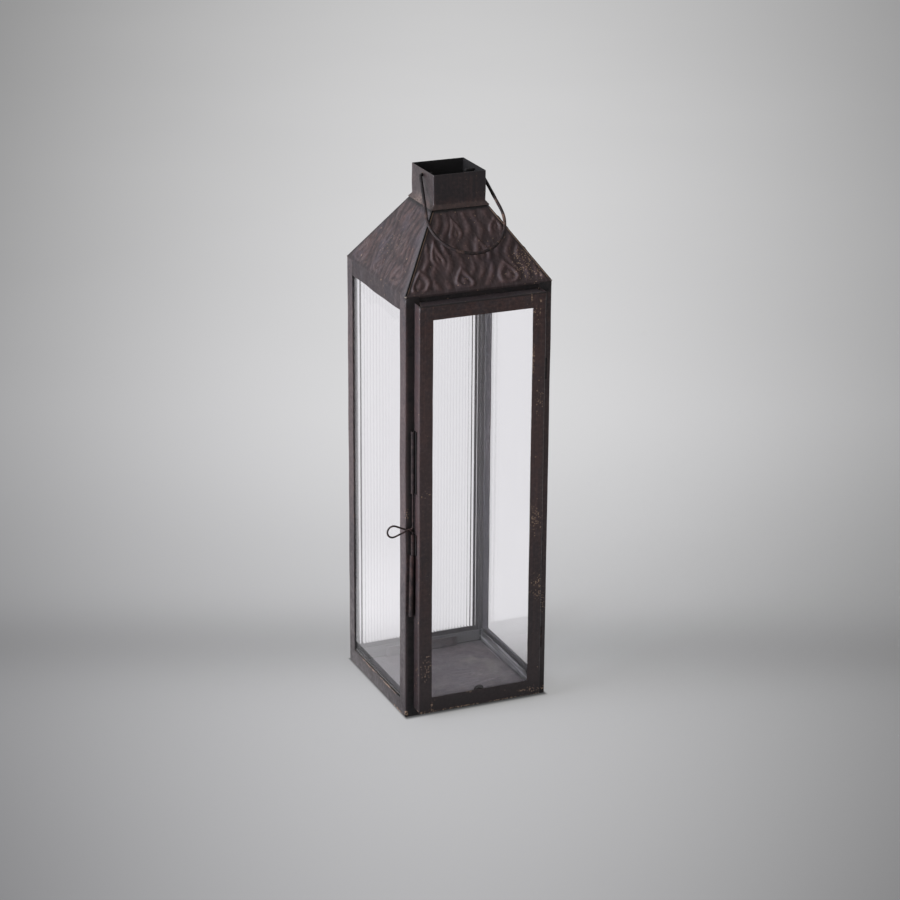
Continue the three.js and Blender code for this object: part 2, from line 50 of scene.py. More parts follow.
scene = bpy.context.scene
scene.view_settings.view_transform = "Standard"

# The sheets' unevenness is drawn from this seed, so that every run gives the same shape
noise.seed_set(5)

body_of = {node: body for body, members in frame["record"]["behaviour"]["bodies"].items() for node in members}

# Sizes in metres, as in the part's source
MM = 0.001
HALF = 85 * MM
SHEET = 0.9 * MM
FOLD_RADIUS = 1.3 * MM
EAVE = 487 * MM
TOP = 600 * MM
CHIMNEY_HALF = 30.5 * MM
CHIMNEY_FOOT = 565.5 * MM
CHIMNEY_FLARE = 5.5 * MM
BAIL_HEIGHT = 594 * MM
BAIL_HOLE = 2.25 * MM
HIP_GAP = 0.6 * MM
SKIRT_REACH = 69.4 * MM
SKIRT_TOP = 485.9 * MM
SLOPE = math.atan2(CHIMNEY_FOOT - EAVE, HALF - CHIMNEY_HALF)
SLOPE_LENGTH = math.hypot(CHIMNEY_FOOT - EAVE, HALF - CHIMNEY_HALF)
FOLD = math.pi / 2 - SLOPE
BEND = FOLD_RADIUS * math.tan(FOLD / 2)

# Camera, fitted to the photograph
AZIMUTH, PITCH, ROLL = 0.4065, 0.3522, 0.0063
CAMERA_PLACE = (-1.14767, -2.674406, 1.345074)
FOCAL_PIXELS, PHOTO_PIXELS, SENSOR = 2783.0927, 900, 36


def make_camera():
    level = Vector((math.sin(AZIMUTH), math.cos(AZIMUTH), 0))
    forward = level * math.cos(PITCH) - Vector((0, 0, math.sin(PITCH)))
    right = Vector((math.cos(AZIMUTH), -math.sin(AZIMUTH), 0))
    up = right.cross(forward)
    rolled_right = right * math.cos(ROLL) + up * math.sin(ROLL)
    rolled_up = up * math.cos(ROLL) - right * math.sin(ROLL)
    data = bpy.data.cameras.new("camera")
    data.sensor_width = SENSOR
    data.lens = FOCAL_PIXELS * SENSOR / PHOTO_PIXELS
    data.clip_start = 0.05
    data.clip_end = 100
    camera = bpy.data.objects.new("camera", data)
    turn = Matrix((rolled_right, rolled_up, -forward)).transposed()
    camera.matrix_world = Matrix.Translation(CAMERA_PLACE) @ turn.to_4x4()
    scene.collection.objects.link(camera)
    scene.camera = camera


make_camera()


# Node graphs
class Value:
    """A number in a node graph, with the sums that the masks need."""

    def __init__(self, look, socket):
        self.look = look
        self.socket = socket

    def __add__(self, other):
        return self.look.math("ADD", self, other)

    def __sub__(self, other):
        return self.look.math("SUBTRACT", self, other)

    def __rsub__(self, other):
        return self.look.math("SUBTRACT", other, self)

    def __mul__(self, other):
        return self.look.math("MULTIPLY", self, other)

    def __truediv__(self, other):
        return self.look.math("DIVIDE", self, other)

    def __abs__(self):
        return self.look.math("ABSOLUTE", self)

    def span(self, low, high, out_low=0.0, out_high=1.0):
        """A smooth step from out_low, at low, to out_high, at high."""
        inputs = {"Value": self, "From Min": low, "From Max": high, "To Min": out_low, "To Max": out_high}
        return self.look.value("ShaderNodeMapRange", inputs, interpolation_type="SMOOTHSTEP")

    def within(self, start, low, high, end):
        """1 between low and high, falling to 0 at start and end."""
        return self.span(start, low) * self.span(high, end, 1, 0)


class Look:
    """The nodes of a material or of the world."""

    def __init__(self, owner):
        self.owner = owner
        owner.use_nodes = True
        self.tree = owner.node_tree
        self.tree.nodes.clear()
        self.where = self.node("ShaderNodeTexCoord").outputs
        self.place = self.where["Object"]
        self.x, self.y, self.z = self.axes(self.place)

    def node(self, kind, inputs=None, **settings):
        """A node with its settings, and its inputs fed by number or by name."""
        made = self.tree.nodes.new(kind)
        for key, setting in settings.items():
            setattr(made, key, setting)
        for key, source in (inputs or {}).items():
            socket = made.inputs[key]
            if isinstance(source, Value):
                source = source.socket
            if isinstance(source, bpy.types.NodeSocket):
                self.tree.links.new(source, socket)
            else:
                socket.default_value = (*source, 1) if socket.type == "RGBA" else source
        return made

    def value(self, kind, inputs=None, output=0, **settings):
        return Value(self, self.node(kind, inputs, **settings).outputs[output])

    def math(self, operation, first, second=0.0):
        return self.value("ShaderNodeMath", {0: first, 1: second}, operation=operation)

    def most(self, *values):
        result = values[0]
        for value in values[1:]:
            result = self.math("MAXIMUM", result, value)
        return result

    def vector(self, operation, first, second):
        return self.node("ShaderNodeVectorMath", {0: first, 1: second}, operation=operation).outputs[0]

    def dot(self, first, second):
        return self.value("ShaderNodeVectorMath", {0: first, 1: second}, "Value", operation="DOT_PRODUCT")

    def axes(self, vector):
        return [Value(self, output) for output in self.node("ShaderNodeSeparateXYZ", {0: vector}).outputs]

    def noise(self, scale, detail, roughness, stretch=(1, 1, 1), shift=(0, 0, 0), distortion=0.0):
        placed = self.node("ShaderNodeMapping", {"Vector": self.place, "Location": shift, "Scale": stretch})
        inputs = {"Vector": placed.outputs[0], "Scale": scale, "Detail": detail}
        inputs.update({"Roughness": roughness, "Distortion": distortion})
        return self.value("ShaderNodeTexNoise", inputs, "Fac")

    def dots(self, scale, size, share):
        """Small round dots in a share of the cells of a scattered pattern."""
        cells = self.node("ShaderNodeTexVoronoi", {"Vector": self.place, "Scale": scale}).outputs
        near = Value(self, cells["Distance"]).span(size, size * 0.55)
        return near * self.axes(cells["Color"])[0].span(1 - share, 1.02 - share)

    def spot(self, place, radius, stretch=(1, 1, 1)):
        """1 at a place on the object, in millimetres, falling to 0 at the radius."""
        offset = self.vector("SUBTRACT", self.place, Vector(place) * MM)
        shaped = self.vector("MULTIPLY", offset, stretch)
        length = self.value("ShaderNodeVectorMath", {0: shaped}, "Value", operation="LENGTH")
        return length.span(0, radius * MM, 1, 0)

    def edges(self, radius):
        """1 along the sharp edges, from how far a rounded normal turns away."""
        rounded = self.node("ShaderNodeBevel", {"Radius": radius * MM}, samples=6).outputs[0]
        plain = self.node("ShaderNodeNewGeometry").outputs["Normal"]
        return (1 - self.dot(rounded, plain)).span(0.02, 0.12)

    def creases(self, distance):
        """1 deep in the gaps and folds, 0 on open faces."""
        light = self.value("ShaderNodeAmbientOcclusion", {"Distance": distance * MM}, "AO", samples=6)
        return light.span(0.22, 0.72, 1, 0)

    def attribute(self, name):
        return self.value("ShaderNodeAttribute", None, "Fac", attribute_name=name)

    def mix(self, factor, first, second):
        return self.node("ShaderNodeMix", {0: factor, 6: first, 7: second}, data_type="RGBA").outputs[2]

    def coats(self, color, *coats):
        """The colour under coats of (mask, tone), one on another."""
        for mask, tone in coats:
            color = self.mix(mask, color, tone)
        return color

    def bump(self, *layers):
        """Bump from (height, strength, depth) layers, one on another, depths in millimetres."""
        normal = None
        for height, strength, depth in layers:
            inputs = {"Strength": strength, "Distance": depth * MM, "Height": height}
            if normal is not None:
                inputs["Normal"] = normal
            normal = self.node("ShaderNodeBump", inputs).outputs[0]
        return normal

    def principled(self, color, rough, layers, **values):
        inputs = {"Base Color": color, "Roughness": rough, "Normal": self.bump(*layers)}
        inputs.update({key.replace("_", " "): value for key, value in values.items()})
        return self.node("ShaderNodeBsdfPrincipled", inputs).outputs[0]

    def shader(self, kind, **inputs):
        return self.node(kind, inputs).outputs[0]

    def blend(self, factor, first, second):
        return self.node("ShaderNodeMixShader", {0: factor, 1: first, 2: second}).outputs[0]

    def rays(self):
        return self.node("ShaderNodeLightPath").outputs

    def finish(self, shader, output="ShaderNodeOutputMaterial"):
        self.node(output, {"Surface": shader})
        return self.owner


def material_look(name):
    return Look(bpy.data.materials.new(name))


# Tones that several materials share
IRON_WARM = (0.048, 0.0225, 0.019)
IRON_DARK = (0.021, 0.0128, 0.0122)
IRON_COOL = (0.033, 0.0225, 0.024)
RUST = (0.095, 0.036, 0.022)
CHIPPED = (0.31, 0.21, 0.14)
# Painted shade, near black, for creases and gaps
CREASE_SHADE = (0.006, 0.0046, 0.0048)
# Soot and painted shade, near black, for the chimney's inner faces
SOOT_AND_SHADE = (0.0035, 0.003, 0.003)
# Painted shade, near black, for narrow gaps and folds
GAP_SHADE = (0.004, 0.0035, 0.0037)
# Painted shade, near black, for inner corners and ends
CORNER_SHADE = (0.006, 0.0053, 0.0056)


def iron_base(look, grain):
    """Mottled brown-black iron with painted shade in its creases: colour, roughness and bump layers."""
    broad = look.noise(16, 4, 0.6)
    cloudy = look.noise(70, 5, 0.62, shift=(3, 1, 2))
    streaks = look.noise(1, 4, 0.6, grain, (7, 5, 1))
    fine = look.noise(1400, 3, 0.6)
    mottled = look.noise(260, 4, 0.72, shift=(6, 3, 9))
    rusty = look.noise(210, 5, 0.7, shift=(1, 9, 4)).span(0.6, 0.74, 0, 0.55)
    color = look.coats(
        IRON_DARK,
        (broad.span(0.38, 0.6), IRON_WARM),
        (cloudy.span(0.44, 0.64), IRON_COOL),
        (streaks.span(0.5, 0.7), (0.060, 0.031, 0.027)),
        (streaks.span(0.47, 0.32, 0, 0.75), (0.013, 0.010, 0.011)),
        (mottled.span(0.5, 0.64, 0, 0.65), (0.012, 0.0085, 0.0085)),
        (mottled.span(0.47, 0.36, 0, 0.5), (0.092, 0.055, 0.048)),
        (rusty * broad.span(0.45, 0.7), RUST),
        # painted shade: near black deep in the creases and gaps, from ambient occlusion
        (look.creases(9) * 0.85, CREASE_SHADE),
    )
    rough = cloudy.span(0.3, 0.7, 0.38, 0.56) + mottled.span(0.35, 0.65, -0.05, 0.08)
    layers = [(cloudy, 0.5, 0.5), (mottled, 0.4, 0.12), (streaks, 0.35, 0.12), (fine, 0.4, 0.05)]
    return color, rough, layers


def in_chimney(look):
    """1 on the chimney's inner faces."""
    wide, deep = [abs(axis).span(0.0299, 0.0303, 1, 0) for axis in (look.x, look.y)]
    return wide * deep * look.z.span(0.55, 0.553)


def recess_shade(look):
    """1 in the recess round the door, where painted shade goes: the leg beside it, the header over it and the
    rail under it.
    """
    leg = look.x.within(-0.085, -0.0808, -0.068, -0.066) * look.y.within(-0.0868, -0.0862, -0.0842, -0.0837)
    across = abs(look.x).span(0.083, 0.0845, 1, 0) * look.y.within(-0.0862, -0.0858, -0.0833, -0.0825)
    return look.most(leg, across * look.most(look.z.span(0.472, 0.476), look.z.span(0.007, 0.006)))


def lit_inner_faces(look):
    """1 on the faces that look into the lantern, where painted light goes."""
    across = abs(look.x).span(0.0844, 0.0847, 1, 0) * look.y.within(-0.0847, -0.0844, 0.0844, 0.0847)
    return across * look.z.span(0.475, 0.478, 1, 0)


def chips(look, mask, scale, low, high):
    return mask * look.noise(scale, 4, 0.7, shift=(2, 2, 8)).span(low, high)


def specks(look, mask, *kinds):
    """Dots in the masked places; each kind has its span of the mask and its dots."""
    return look.most(*[mask.span(*reach) * look.dots(*dots) for reach, dots in kinds])


# Places on the frame and the door, in millimetres: (place, radius, stretch)
SPECKLED = [
    ((-67, -100, 60), 15, (1.35, 1, 0.6)),
    ((-64.5, -100, 64), 11, (1.3, 1, 0.7)),
    ((66, -100, 360), 9, (1.3, 1, 0.3)),
    ((60, -100, 455), 9, (1, 1, 0.6)),
    ((62, -100, 222), 13, (1, 1, 0.45)),
    ((68, -100, 138), 13, (1, 1, 0.5)),
    ((79, -85, 110), 8, (1, 1, 0.3)),
    ((58, -100, 15), 8, (0.6, 1, 1.2)),
    ((-67, -100, 267), 8, (0.8, 1, 1.6)),
    ((-83.5, -85, 243), 6, (1, 1, 0.6)),
]
RUBBED = [
    ((-59.5, -100, 15), 4.5, (2.4, 1, 0.6)),
    ((-70, -100, 9), 5, (1, 1, 1.6)),
    ((49, -100, 15.5), 5, (0.7, 1, 3)),
    ((70, -100, 13), 3.5, (1, 1, 1)),
    ((66, -100, 8.5), 6, (0.5, 1, 4)),
    ((77.5, -85, 77), 3, (1.5, 1, 1)),
    ((65, -100, 471), 3, (1.4, 1, 0.8)),
    ((54.5, -100, 473), 9, (6, 1, 1)),
    ((57, -100, 407), 26, (8, 1, 1)),
    ((-14, -98, 26), 5, (0.8, 1, 1.4)),
    ((-28, -100, 8.3), 14, (0.3, 1, 6)),
    ((30, -100, 8.3), 11, (0.3, 1, 6)),
    ((-84.6, -60, 0.5), 9, (1, 0.5, 4)),
    ((-85, 8, 17), 20, (1, 0.35, 8)),
    ((-85, -30, 17), 16, (1, 0.4, 8)),
    ((-85, -85, 4), 5, (1, 1, 1)),
    ((84, -85, 6), 5, (1, 1, 1)),
    ((-60, -100, 9), 5, (1, 1, 1)),
    ((-74, -96, 9), 4, (1, 1, 1)),
]


def bare_frame(look):
    """1 where the finish of the frame and the door is worn, speckled, rubbed or chipped."""
    worn = chips(look, look.edges(0.6), 160, 0.52, 0.66) * 0.8
    speckled, rubbed = [look.most(*[look.spot(*spot) for spot in spots]) for spots in (SPECKLED, RUBBED)]
    dots = specks(look, speckled, ((0.35, 0.7), (520, 0.42, 0.55)), ((0.02, 0.2), (430, 0.36, 0.3)))
    chipped = chips(look, rubbed.span(0, 0.6), 380, 0.5, 0.57)
    stray = look.noise(330, 2, 0.4, shift=(5, 5, 5)).span(0.735, 0.76, 0, 0.7)
    return look.most(worn, dots, chipped, stray)


def chimney_coats(look):
    """Burnt blotches on the chimney, painted shade of the handle on its left face, and its paler foot."""
    blotches = look.noise(90, 4, 0.65, shift=(4, 2, 7)).span(0.4, 0.6, 0.5, 0.88)
    patches = look.noise(300, 3, 0.6).span(0.36, 0.56, 0, 0.5)
    return (
        (look.z.span(0.566, 0.575) * blotches, (0.013, 0.0095, 0.0105)),
        # painted shade: the handle's shadow low on the chimney's left face
        (look.spot((-30.5, -7, 573), 16, (1, 1, 0.8)) * 0.75, (0.009, 0.0068, 0.0072)),
        (look.z.within(0.5, 0.56, 0.5665, 0.5685) * 0.35, (0.07, 0.045, 0.037)),
        (look.spot((-35, 7, 564), 20, (1, 0.9, 1.4)) * patches, (0.23, 0.175, 0.145)),
    )


def facing_light_coats(look):
    """Painted light and shade by the way a face looks: a cooler, paler sheen on the faces to the left and a
    cooler tone on top, a warmer tone on the chimney's left face, darker outer left faces, and painted shade
    in the dark line of the door's fold.
    """
    face_x, _, face_z = look.axes(look.where["Normal"])
    to_left = face_x.span(-0.6, -0.9)
    left_face_sheen = to_left * look.z.span(0.015, 0.07, 0, 0.28) * look.z.span(0.57, 0.56)
    fold_line_shade = look.z.within(0.4776, 0.4783, 0.481, 0.482) * look.y.span(-0.099, -0.0994)
    return (
        # painted light and shade, set by which way each face looks
        (left_face_sheen, (0.041, 0.0365, 0.0435)),
        (to_left * look.z.span(0.565, 0.575, 0, 0.25), (0.045, 0.028, 0.026)),
        (to_left * look.x.span(-0.083, -0.084, 0, 0.16), (0.02, 0.018, 0.021)),
        (face_z.span(0.6, 0.9, 0, 0.7) * look.z.span(0.45, 0.46), (0.026, 0.0225, 0.025)),
        # painted shade: a near-black line along the door's top fold
        (fold_line_shade * 0.75, GAP_SHADE),
    )


def level_coats(look):
    """Warmer at mid-height, darker towards the foot, and painted light on the faces inside."""
    return (
        (look.z.span(0.16, 0.25, 0, 0.3) * look.z.span(0.46, 0.38), (0.078, 0.047, 0.044)),
        (look.z.span(0.23, 0.04, 0, 0.82), (0.015, 0.0092, 0.0098)),
        (look.z.span(0.032, 0.016, 0, 0.55), (0.0085, 0.0048, 0.0052)),
        # painted light: paler on the faces inside, where light through the panes falls
        (lit_inner_faces(look) * 0.5, (0.088, 0.082, 0.088)),
    )


def aged_iron(name, grain):
    """Iron of the frame, the door and the chimney, with streaks along the grain."""
    look = material_look(name)
    color, rough, layers = iron_base(look, grain)
    bare = bare_frame(look)
    inside = in_chimney(look)
    recess = recess_shade(look) * look.noise(120, 4, 0.6).span(0.3, 0.6, 0.95, 0.75)
    color = look.coats(
        color,
        *chimney_coats(look),
        *facing_light_coats(look),
        *level_coats(look),
        # painted shade: near black in the recess round the door
        (recess, (0.003, 0.0026, 0.0028)),
        (bare, CHIPPED),
        # soot and painted shade: near black on the chimney's inner faces
        (inside, SOOT_AND_SHADE),
    )
    rough = look.most(rough, inside * 0.95, recess * 0.85)
    layers.append((bare, 0.4, -0.08))
    return look.finish(look.principled(color, rough, layers, Specular_IOR_Level=0.5))


def bare_roof(look):
    """1 where the roof's finish is speckled or worn at the edges."""
    corner = look.spot((62, -72, 506), 32, (1, 1, 0.8))
    front, left = look.spot((20, -55, 530), 30) * 0.2, look.spot((-62, 0, 516), 50) * 0.22
    speckled = look.most(corner, front, left)
    dots = specks(look, speckled, ((0.3, 0.7), (560, 0.42, 0.5)), ((0.05, 0.3), (450, 0.36, 0.24)))
    stray = look.noise(300, 2, 0.4, shift=(5, 2, 5)).span(0.72, 0.745, 0, 0.55)
    edge = chips(look, look.edges(0.5) * 0.3, 130, 0.5, 0.62)
    return look.most(dots * 0.8, stray, edge)


def embossed_iron():
    """Iron of the roof sheets: dark hollows, paler ridges, lips along the hips, a painted sheen beside the
    front hip, and painted shade on the skirt and in dark lines along the hips, under the chimney's foot and
    in the front fold.
    """
    look = material_look("embossed_iron")
    color, rough, layers = iron_base(look, (60, 60, 60))
    relief, lip, painted_shade = [look.attribute(name) for name in ("relief", "lip", "painted_shade")]
    face_x, face_y, _ = look.axes(look.where["Normal"])
    patina = look.noise(120, 4, 0.65, shift=(4, 4, 4))
    cool = look.noise(34, 4, 0.6, shift=(8, 1, 3))
    raised = relief.span(0.3, 0.95) * patina.span(0.34, 0.62, 0.2, 1) * 0.28
    sideways = abs(face_x).span(0.3, 0.5)
    down_side, down_front = look.noise(1, 4, 0.6, (30, 380, 30)), look.noise(1, 4, 0.6, (380, 30, 30))
    brushed = down_side * sideways + down_front * (1 - sideways)
    warmth = face_y.span(-0.35, -0.6) * relief.span(0.1, 0.8, 0.16, 0.36)
    hip_sheen = (look.y - look.x).span(0.016, 0.004) * face_x.span(-0.3, -0.5, 0, 0.3)
    bare = bare_roof(look)
    color = look.coats(
        color,
        (patina.span(0.4, 0.62, 0.1, 0.7), (0.050, 0.029, 0.0265)),
        (cool.span(0.5, 0.64, 0, 0.7), (0.034, 0.027, 0.034)),
        (relief.span(0.02, 0.4, 0.7, 0), (0.011, 0.0072, 0.0078)),
        (raised, (0.080, 0.055, 0.051)),
        (brushed.span(0.5, 0.7, 0, 0.5), (0.078, 0.062, 0.064)),
        (brushed.span(0.47, 0.32, 0, 0.55), (0.017, 0.0125, 0.0135)),
        (warmth, (0.100, 0.056, 0.053)),
        # painted sheen: a paler, cooler band on the left sheet beside the front hip
        (hip_sheen, (0.105, 0.098, 0.104)),
        (bare, CHIPPED),
        (lip * patina.span(0.3, 0.6, 0.35, 1), (0.22, 0.14, 0.09)),
        # painted shade: darker on the skirt below the eave
        (look.z.span(0.487, 0.483, 0, 0.25), (0.014, 0.011, 0.012)),
        # painted shade: near black in dark lines along the hips, under the chimney's foot and in the front
        # fold
        (painted_shade * 0.95, (0.0022, 0.0018, 0.0018)),
    )
    layers += [(brushed, 0.35, 0.12), (bare, 0.4, -0.08)]
    return look.finish(look.principled(color, rough + 0.2, layers, Specular_IOR_Level=0.5))


def iron_wire(name, rubbed_color, share):
    """Iron of the wires, the rolled eyes and the clips, rubbed in a share of its length."""
    look = material_look(name)
    color, rough, layers = iron_base(look, (300, 300, 300))
    dulled = look.noise(240, 3, 0.6, shift=(2, 8, 5))
    rubbed = look.noise(95, 4, 0.6, shift=(1, 1, 1)).span(0.52, 0.66) * look.x.span(-0.035, 0.02, 0.45, 1)
    leaf = look.x.within(-0.0768, -0.0762, -0.07, -0.069) * look.y.span(-0.0882, -0.0888)
    color = look.coats(
        color,
        (dulled.span(0.35, 0.65), (0.010, 0.0078, 0.0075)),
        (rubbed * share, rubbed_color),
        (look.z.span(0.566, 0.578, 0, 0.85), (0.0045, 0.0038, 0.0038)),
        # painted shade: near black on the guides' leaves beside the door's side flange
        (leaf * 0.85, GAP_SHADE),
        # soot and painted shade: near black where the wire lies inside the chimney
        (in_chimney(look), SOOT_AND_SHADE),
    )
    shader = look.principled(color, rough + 0.2, layers, Metallic=0.1, Specular_IOR_Level=0.38)
    return look.finish(shader)


def right_strip_coats(look):
    """The angle strip inside the right pane: painted shade on its side, which has paler brushed streaks, a
    paler top, and painted shade at its front end.
    """
    x = look.x
    streaks = look.noise(1, 3, 0.6, (400, 14, 400), (1, 5, 2)).span(0.53, 0.6)
    front_end = x.span(0.0745, 0.0755) * look.y.span(-0.042, -0.05) * look.z.span(0.007, 0.011, 0, 0.85)
    return (
        # painted shade: the strip darker beyond the pane, darkest on its side
        (x.span(0.0745, 0.0755, 0, 0.35), (0.036, 0.034, 0.037)),
        (x.within(0.0745, 0.0755, 0.0766, 0.0772) * 0.8, (0.018, 0.0168, 0.018)),
        (x.span(0.0768, 0.0776, 0, 0.6), (0.2, 0.19, 0.2)),
        (streaks * x.span(0.07, 0.076, 0, 0.5), (0.2, 0.195, 0.2)),
        # painted shade: near black at the strip's front end
        (front_end, CORNER_SHADE),
    )


def tray_iron(name, dust):
    """Dusty iron of the floor plate and of the strips that hold the panes, with painted light towards the
    left and painted shade along the left edge.
    """
    look = material_look(name)
    color, rough, layers = iron_base(look, (60, 60, 60))
    dusty = look.noise(26, 5, 0.65, distortion=0.6)
    smears = look.noise(1, 4, 0.6, (34, 120, 60), (2, 6, 0))
    scratches = look.noise(1, 3, 0.6, (60, 900, 60), (3, 5, 2)).span(0.57, 0.63)
    stain = look.spot((50, 25, 1), 40, (1, 0.5, 1)) * dusty.span(0.42, 0.6)
    color = look.coats(
        color,
        (dusty.span(0.3, 0.7, 0.55, 0.8), dust),
        (smears.span(0.54, 0.72, 0, 0.3), (0.15, 0.14, 0.14)),
        # painted light: paler towards the left, where light through the left pane falls
        (look.x.span(-0.03, -0.07, 0, 0.6), (0.19, 0.178, 0.19)),
        (look.y.span(0.0752, 0.0757, 0, 0.45), (0.17, 0.165, 0.165)),
        *right_strip_coats(look),
        (scratches * look.spot((40, -25, 1), 60) * 0.8, (0.2, 0.19, 0.19)),
        # painted shade: near black along the left edge
        (look.x.span(-0.0754, -0.0762, 0, 0.9), CORNER_SHADE),
        (stain * 0.4, (0.17, 0.15, 0.125)),
        (look.noise(420, 2, 0.5).span(0.73, 0.76), (0.2, 0.17, 0.15)),
    )
    return look.finish(look.principled(color, rough + 0.16, layers, Specular_IOR_Level=0.35))


def solder():
    """Dull solder, with a painted highlight that makes the beads on the frame paler than those at the
    chimney's foot.
    """
    look = material_look("solder")
    dull = look.noise(600, 4, 0.6)
    # painted highlight: the beads low down, at the eave's corners, are paler
    highlit_tone = look.mix(look.z.span(0.5, 0.52), (0.46, 0.39, 0.335), (0.17, 0.135, 0.115))
    color = look.mix(dull.span(0.4, 0.6), highlit_tone, (0.10, 0.078, 0.067))
    rough = dull.span(0.3, 0.7, 0.35, 0.6)
    return look.finish(look.principled(color, rough, [(dull, 0.5, 0.15)], Metallic=0.6))


REEDS = 40
REED_PITCH = 3.695 * MM
REED_START = -75.9 * MM


def clear_glass(name, reeded=False):
    """Slightly wavy glass that lets the lamps' light through; the reeded pane is darker in its grooves."""
    look = material_look(name)
    film = look.noise(8, 4, 0.6, (1, 1, 0.6), (2, 4, 3)).span(0.35, 0.75, 0, 0.5)
    color = look.mix(film, (0.985, 0.99, 0.99), (0.95, 0.955, 0.955))
    if reeded:
        # painted shade: the reeds' grooves darker, standing for how their refraction darkens them
        groove = abs(look.math("FRACT", (look.x - REED_START) / REED_PITCH) - 0.5)
        color = look.mix(groove.span(0.28, 0.5, 0, 0.7), color, (0.82, 0.81, 0.83))
    else:
        wavering = look.z + look.noise(22, 3, 0.5) * 0.03
        smudge = wavering.span(0.467, 0.471, 0, 0.6) * look.x.span(-0.07, -0.08)
        color = look.mix(smudge, color, (0.9, 0.905, 0.905))
    wavy = [(look.noise(14, 2, 0.5), 0.2, 0.25)]
    glass = look.principled(color, 0.0, wavy, IOR=1.46, Transmission_Weight=1.0)
    clear = look.shader("ShaderNodeBsdfTransparent", Color=(0.93, 0.94, 0.94))
    return look.finish(look.blend(look.rays()["Is Shadow Ray"], glass, clear))


IRON = aged_iron("aged_iron", (400, 400, 7))
IRON_ACROSS = aged_iron("aged_iron_across", (7, 400, 400))
IRON_DEEP = aged_iron("aged_iron_deep", (400, 7, 400))
EMBOSSED = embossed_iron()
WIRE = iron_wire("iron_wire", (0.19, 0.118, 0.085), 0.65)
BLACK_WIRE = iron_wire("black_wire", (0.05, 0.038, 0.033), 0.4)
TRAY = tray_iron("tray_iron", (0.076, 0.069, 0.075))
STRIP = tray_iron("strip_iron", (0.079, 0.074, 0.079))
SOLDER = solder()
GLASS = clear_glass("clear_glass")
REEDED = clear_glass("reeded_glass", True)


# Pieces
def finish_piece(mesh, name, material, body, replaced=(), sharp=35):
    mesh.validate()
    mesh.shade_smooth()
    mesh.set_sharp_from_angle(angle=math.radians(sharp))
    mesh.materials.clear()
    mesh.materials.append(material)
    obj = bpy.data.objects.new(name, mesh)
    scene.collection.objects.link(obj)
    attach(obj, body)
    if replaced:
        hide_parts(*replaced)


def to_mesh(work, name):
    mesh = bpy.data.meshes.new(name)
    work.to_mesh(mesh)
    work.free()
    return mesh


def from_faces(name, verts, faces):
    mesh = bpy.data.meshes.new(name)
    mesh.from_pydata([tuple(v) for v in verts], [], [tuple(f) for f in faces])
    work = bmesh.new()
    work.from_mesh(mesh)
    bmesh.ops.recalc_face_normals(work, faces=work.faces)
    work.to_mesh(mesh)
    work.free()
    return mesh


def ring_faces(rings, count):
    """Quads between neighbouring rings of count points each."""
    starts = [(row * count, i, (i + 1) % count) for row in range(rings - 1) for i in range(count)]
    return [(start + i, start + j, start + count + j, start + count + i) for start, i, j in starts]


def sheet_ends(base, count, line):
    """Quads that close the end of a folded line of sheet: line points outside, the same number inside."""
    return [(base + i, base + i + 1, base + count - 2 - i, base + count - 1 - i) for i in range(line - 1)]


def uneven(point):
    """The slight unevenness of hand-folded sheet, the same field for every piece."""
    slow = noise.noise_vector(point * 17)
    quick = noise.noise_vector(point * 46 + Vector((4, 8, 2)))
    return (slow * 0.34 + quick * 0.1) * MM


TONGUE = 3.8 * MM


def round_tongue(point, low, high):
    """Rounds off the bottom clip's free end."""
    across = (2 * point.x - low.x - high.x) / (high.x - low.x)
    base = high.z - TONGUE
    if point.z > base:
        point.z = base + (point.z - base) * math.sqrt(max(0.04, 1 - across * across))


def worn_sheet(node, material, step):
    """A copy of a folded sheet with more faces and a slightly uneven surface."""
    work = bmesh.new()
    work.from_mesh(nodes[node].data)
    bmesh.ops.remove_doubles(work, verts=work.verts, dist=1e-6)
    low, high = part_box(node)
    for axis in range(3):
        normal = Vector((0, 0, 0))
        normal[axis] = 1
        count = int((high[axis] - low[axis]) / step)
        for index in range(1, count + 1):
            place = low.copy()
            place[axis] += (high[axis] - low[axis]) * index / (count + 1)
            parts = work.verts[:] + work.edges[:] + work.faces[:]
            bmesh.ops.bisect_plane(work, geom=parts, plane_co=place, plane_no=normal, dist=1e-7)
    for vert in work.verts:
        if node == "door_clip_bottom":
            round_tongue(vert.co, low, high)
        vert.co += uneven(vert.co)
        vert.co.z = max(vert.co.z, low.z)
    mesh = to_mesh(work, node + "_sheet")
    finish_piece(mesh, node + "_sheet", material, body_of[node], [node])


# Roof panels, embossed with waves and nested arches
WALLS = {"front": 0, "right": 1, "back": 2, "left": 3}
# Each wall's shift across and up, the slant of its waves and their spacing, in millimetres
PATTERN = {
    "front": (-14, 0, -0.16, 12.4),
    "left": (-8, 2, 0.3, 10.8),
    "back": (6, 1, 0.2, 12),
    "right": (12, -1, -0.1, 12),
}
COLUMN_GAP = 50
# Where painted shade lies under the chimney's foot, in millimetres up the slope
FOOT_LINE = (SLOPE_LENGTH / MM - 7.4, SLOPE_LENGTH / MM - 6.4)
SKIRT_DROP = 18.5 * MM
SHORT_DROP = 2.6 * MM
EASE = EAVE - SKIRT_TOP
# Rows of arches from the eave up, in millimetres: height of the middle, shift across, half width,
# reach up and down, then the core's height, how far the waves give way, and how closed it is below
ARCHES = (
    (11, 0, 11.5, 15, 10, 0.8, 1.0, 1.0),
    (38, 25, 8.2, 17, 14, 0.7, 0.75, 0.25),
    (65, 0, 7, 16, 13, 0.6, 0.7, 0.25),
    (90, 25, 6, 12, 11, 0.4, 0.6, 0.3),
)


def turned(points, quarter):
    """Points of the front wall, turned by quarters about the lantern's middle."""
    x, y = points[..., 0].copy(), points[..., 1].copy()
    for _ in range(quarter):
        x, y = -y, x
    return np.stack([x, y, points[..., 2]], -1)


def smoothstep(value, low, high):
    t = np.clip((value - low) / (high - low), 0, 1)
    return t * t * (3 - 2 * t)


